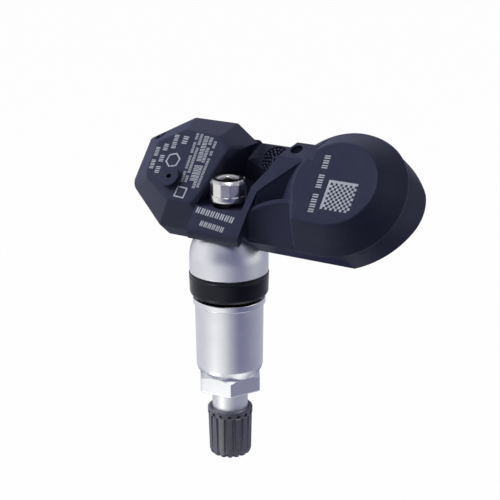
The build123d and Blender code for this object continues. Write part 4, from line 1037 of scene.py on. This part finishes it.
class SENSOR_OT_stage(BuildStep, bpy.types.Operator):
    """Pale floor, reflection tent, soft lamps, white surroundings and the camera"""

    bl_idname = "sensor.stage"
    bl_label = "Stage"

    def build(self, colours, sizes, stage):
        self.lay_floor(stage)
        self.hang_tent(stage)
        self.light(stage)
        self.place_camera(stage)
        bpy.context.scene.view_settings.view_transform = "Standard"

    def lay_floor(self, stage):
        """Flat pale floor well below the cap, white to the eye apart from a share that takes the shadow."""
        corners = np.array([(-1, -1), (1, -1), (1, 1), (-1, 1)]) * FLOOR_HALF
        points = np.hstack([corners, np.full((4, 1), stage.floor_drop)])
        floor = surface("floor", points, np.array([[0, 1, 2, 3]]))
        material = bpy.data.materials.new("pale_floor")
        nodes, links = node_tree(material)
        shader = nodes["Principled BSDF"]
        shader.inputs["Base Color"].default_value = (0.45, 0.45, 0.46, 1)
        shader.inputs["Roughness"].default_value = 0.9
        glow = nodes.new("ShaderNodeEmission")
        white_for_eye(nodes, links, FLOOR_SEEN, shader, glow, "Material Output")
        floor.data.materials.append(material)

    def hang_tent(self, stage):
        """Reflection tent about the object, seen only in reflections: a sphere whose tone is a smooth
        function of the angle from the camera and of height."""
        turn = angles(TENT_COLUMNS)
        rise = np.radians(np.linspace(-TENT_REACH, TENT_REACH, TENT_ROWS))[:, None]
        x = TENT_R * np.cos(rise) * np.cos(turn)
        y = TENT_R * np.cos(rise) * np.sin(turn)
        z = np.repeat(TENT_R * np.sin(rise), TENT_COLUMNS, axis=1)
        points = np.stack([x, y, z], axis=-1)
        tent = surface("reflection_tent", points, grid_quads(TENT_ROWS, TENT_COLUMNS, flip=True))
        side = np.degrees((turn - stage.azimuth + 1.5 * math.pi) % FULL_TURN - math.pi)[None]
        tone = tent_tone(side, np.degrees(rise))
        blue = tone + TENT_BLUE * np.clip(1 - tone, 0, 1)
        colour = np.stack([tone, TENT_GREEN * tone, blue, np.ones_like(tone)], axis=-1)
        layer = tent.data.color_attributes.new("tone", "FLOAT_COLOR", "POINT")
        layer.data.foreach_set("color", colour.ravel())
        material = bpy.data.materials.new("tent_tone")
        nodes, links = node_tree(material)
        nodes.remove(nodes["Principled BSDF"])
        read = nodes.new("ShaderNodeVertexColor")
        read.layer_name = "tone"
        glow = nodes.new("ShaderNodeEmission")
        links.new(read.outputs["Color"], glow.inputs["Color"])
        links.new(glow.outputs[0], nodes["Material Output"].inputs["Surface"])
        tent.data.materials.append(material)
        tent.visible_camera = False
        tent.visible_diffuse = False
        tent.visible_shadow = False
        tent.visible_transmission = False

    def light(self, stage):
        """Key lamp at the upper left, a weak one beside the camera, one at the right, and even ambient light
        under surroundings that look white."""
        add_lamp("key_lamp", stage, -110, 37, 0.6, 0.4, stage.key_power, (1, 1, 1))
        add_lamp("front_lamp", stage, -12, 25, 0.7, 0.5, stage.front_power, COOL)
        add_lamp("right_lamp", stage, 80, -18, 0.6, 0.4, stage.right_power, COOL)
        world = bpy.data.worlds.new("studio")
        bpy.context.scene.world = world
        nodes, links = node_tree(world)
        dim = nodes["Background"]
        dim.inputs["Color"].default_value = (0.92, 0.94, 1.0, 1)
        dim.inputs["Strength"].default_value = stage.ambient
        white = nodes.new("ShaderNodeBackground")
        white.inputs["Color"].default_value = (1, 1, 1, 1)
        white_for_eye(nodes, links, 1.0, dim, white, "World Output")

    def place_camera(self, stage):
        """Camera on its sphere about the aim point, turned by its azimuth, elevation and roll."""
        back = direction(stage.azimuth, stage.elevation)
        level = Vector((math.cos(stage.azimuth), math.sin(stage.azimuth), 0))
        upright = back.cross(level)
        c, s = math.cos(stage.roll), math.sin(stage.roll)
        right, up = c * level + s * upright, c * upright - s * level
        data = bpy.data.cameras.new("camera")
        data.sensor_width = SENSOR_WIDTH
        data.lens = stage.lens
        data.clip_start, data.clip_end = CLIP_NEAR, CLIP_FAR
        camera = linked("camera", data)
        place = Matrix((right, up, back)).transposed().to_4x4()
        place.translation = Vector(stage.aim) + back * stage.distance
        camera.matrix_world = place
        bpy.context.scene.camera = camera


class SENSOR_PT_panel(bpy.types.Panel):
    """Sizes, colours and build steps"""

    bl_idname = "SENSOR_PT_panel"
    bl_label = "Tyre pressure sensor"
    bl_space_type = "VIEW_3D"
    bl_region_type = "UI"
    bl_category = "Sensor"

    def draw(self, context):
        layout = self.layout
        for group in settings():
            box = layout.box()
            for key in group.__annotations__:
                box.prop(group, key)
        for operator in STEPS:
            layout.operator(operator.bl_idname)


STEPS = (
    SENSOR_OT_housing, SENSOR_OT_print, SENSOR_OT_dial, SENSOR_OT_stem, SENSOR_OT_grommet, SENSOR_OT_washer,
    SENSOR_OT_nut, SENSOR_OT_screw, SENSOR_OT_cap, SENSOR_OT_inner, SENSOR_OT_stage)
GROUPS = (SensorFinishes, SensorSizes, SensorStage)


def register():
    """Registers the groups, operators and panel."""
    for item in GROUPS + STEPS + (SENSOR_PT_panel,):
        bpy.utils.register_class(item)
    bpy.types.Scene.sensor_finishes = bpy.props.PointerProperty(type=SensorFinishes)
    bpy.types.Scene.sensor_sizes = bpy.props.PointerProperty(type=SensorSizes)
    bpy.types.Scene.sensor_stage = bpy.props.PointerProperty(type=SensorStage)


def unregister():
    """Takes the groups, operators and panel away again."""
    del bpy.types.Scene.sensor_stage
    del bpy.types.Scene.sensor_sizes
    del bpy.types.Scene.sensor_finishes
    for item in reversed(GROUPS + STEPS + (SENSOR_PT_panel,)):
        bpy.utils.unregister_class(item)


def main():
    """Registers the add-on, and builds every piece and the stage."""
    register()
    bpy.ops.sensor.housing()
    bpy.ops.sensor.print()
    bpy.ops.sensor.dial()
    bpy.ops.sensor.stem()
    bpy.ops.sensor.grommet()
    bpy.ops.sensor.washer()
    bpy.ops.sensor.nut()
    bpy.ops.sensor.screw()
    bpy.ops.sensor.cap()
    bpy.ops.sensor.inner()
    bpy.ops.sensor.stage()


if __name__ == "__main__":
    main()
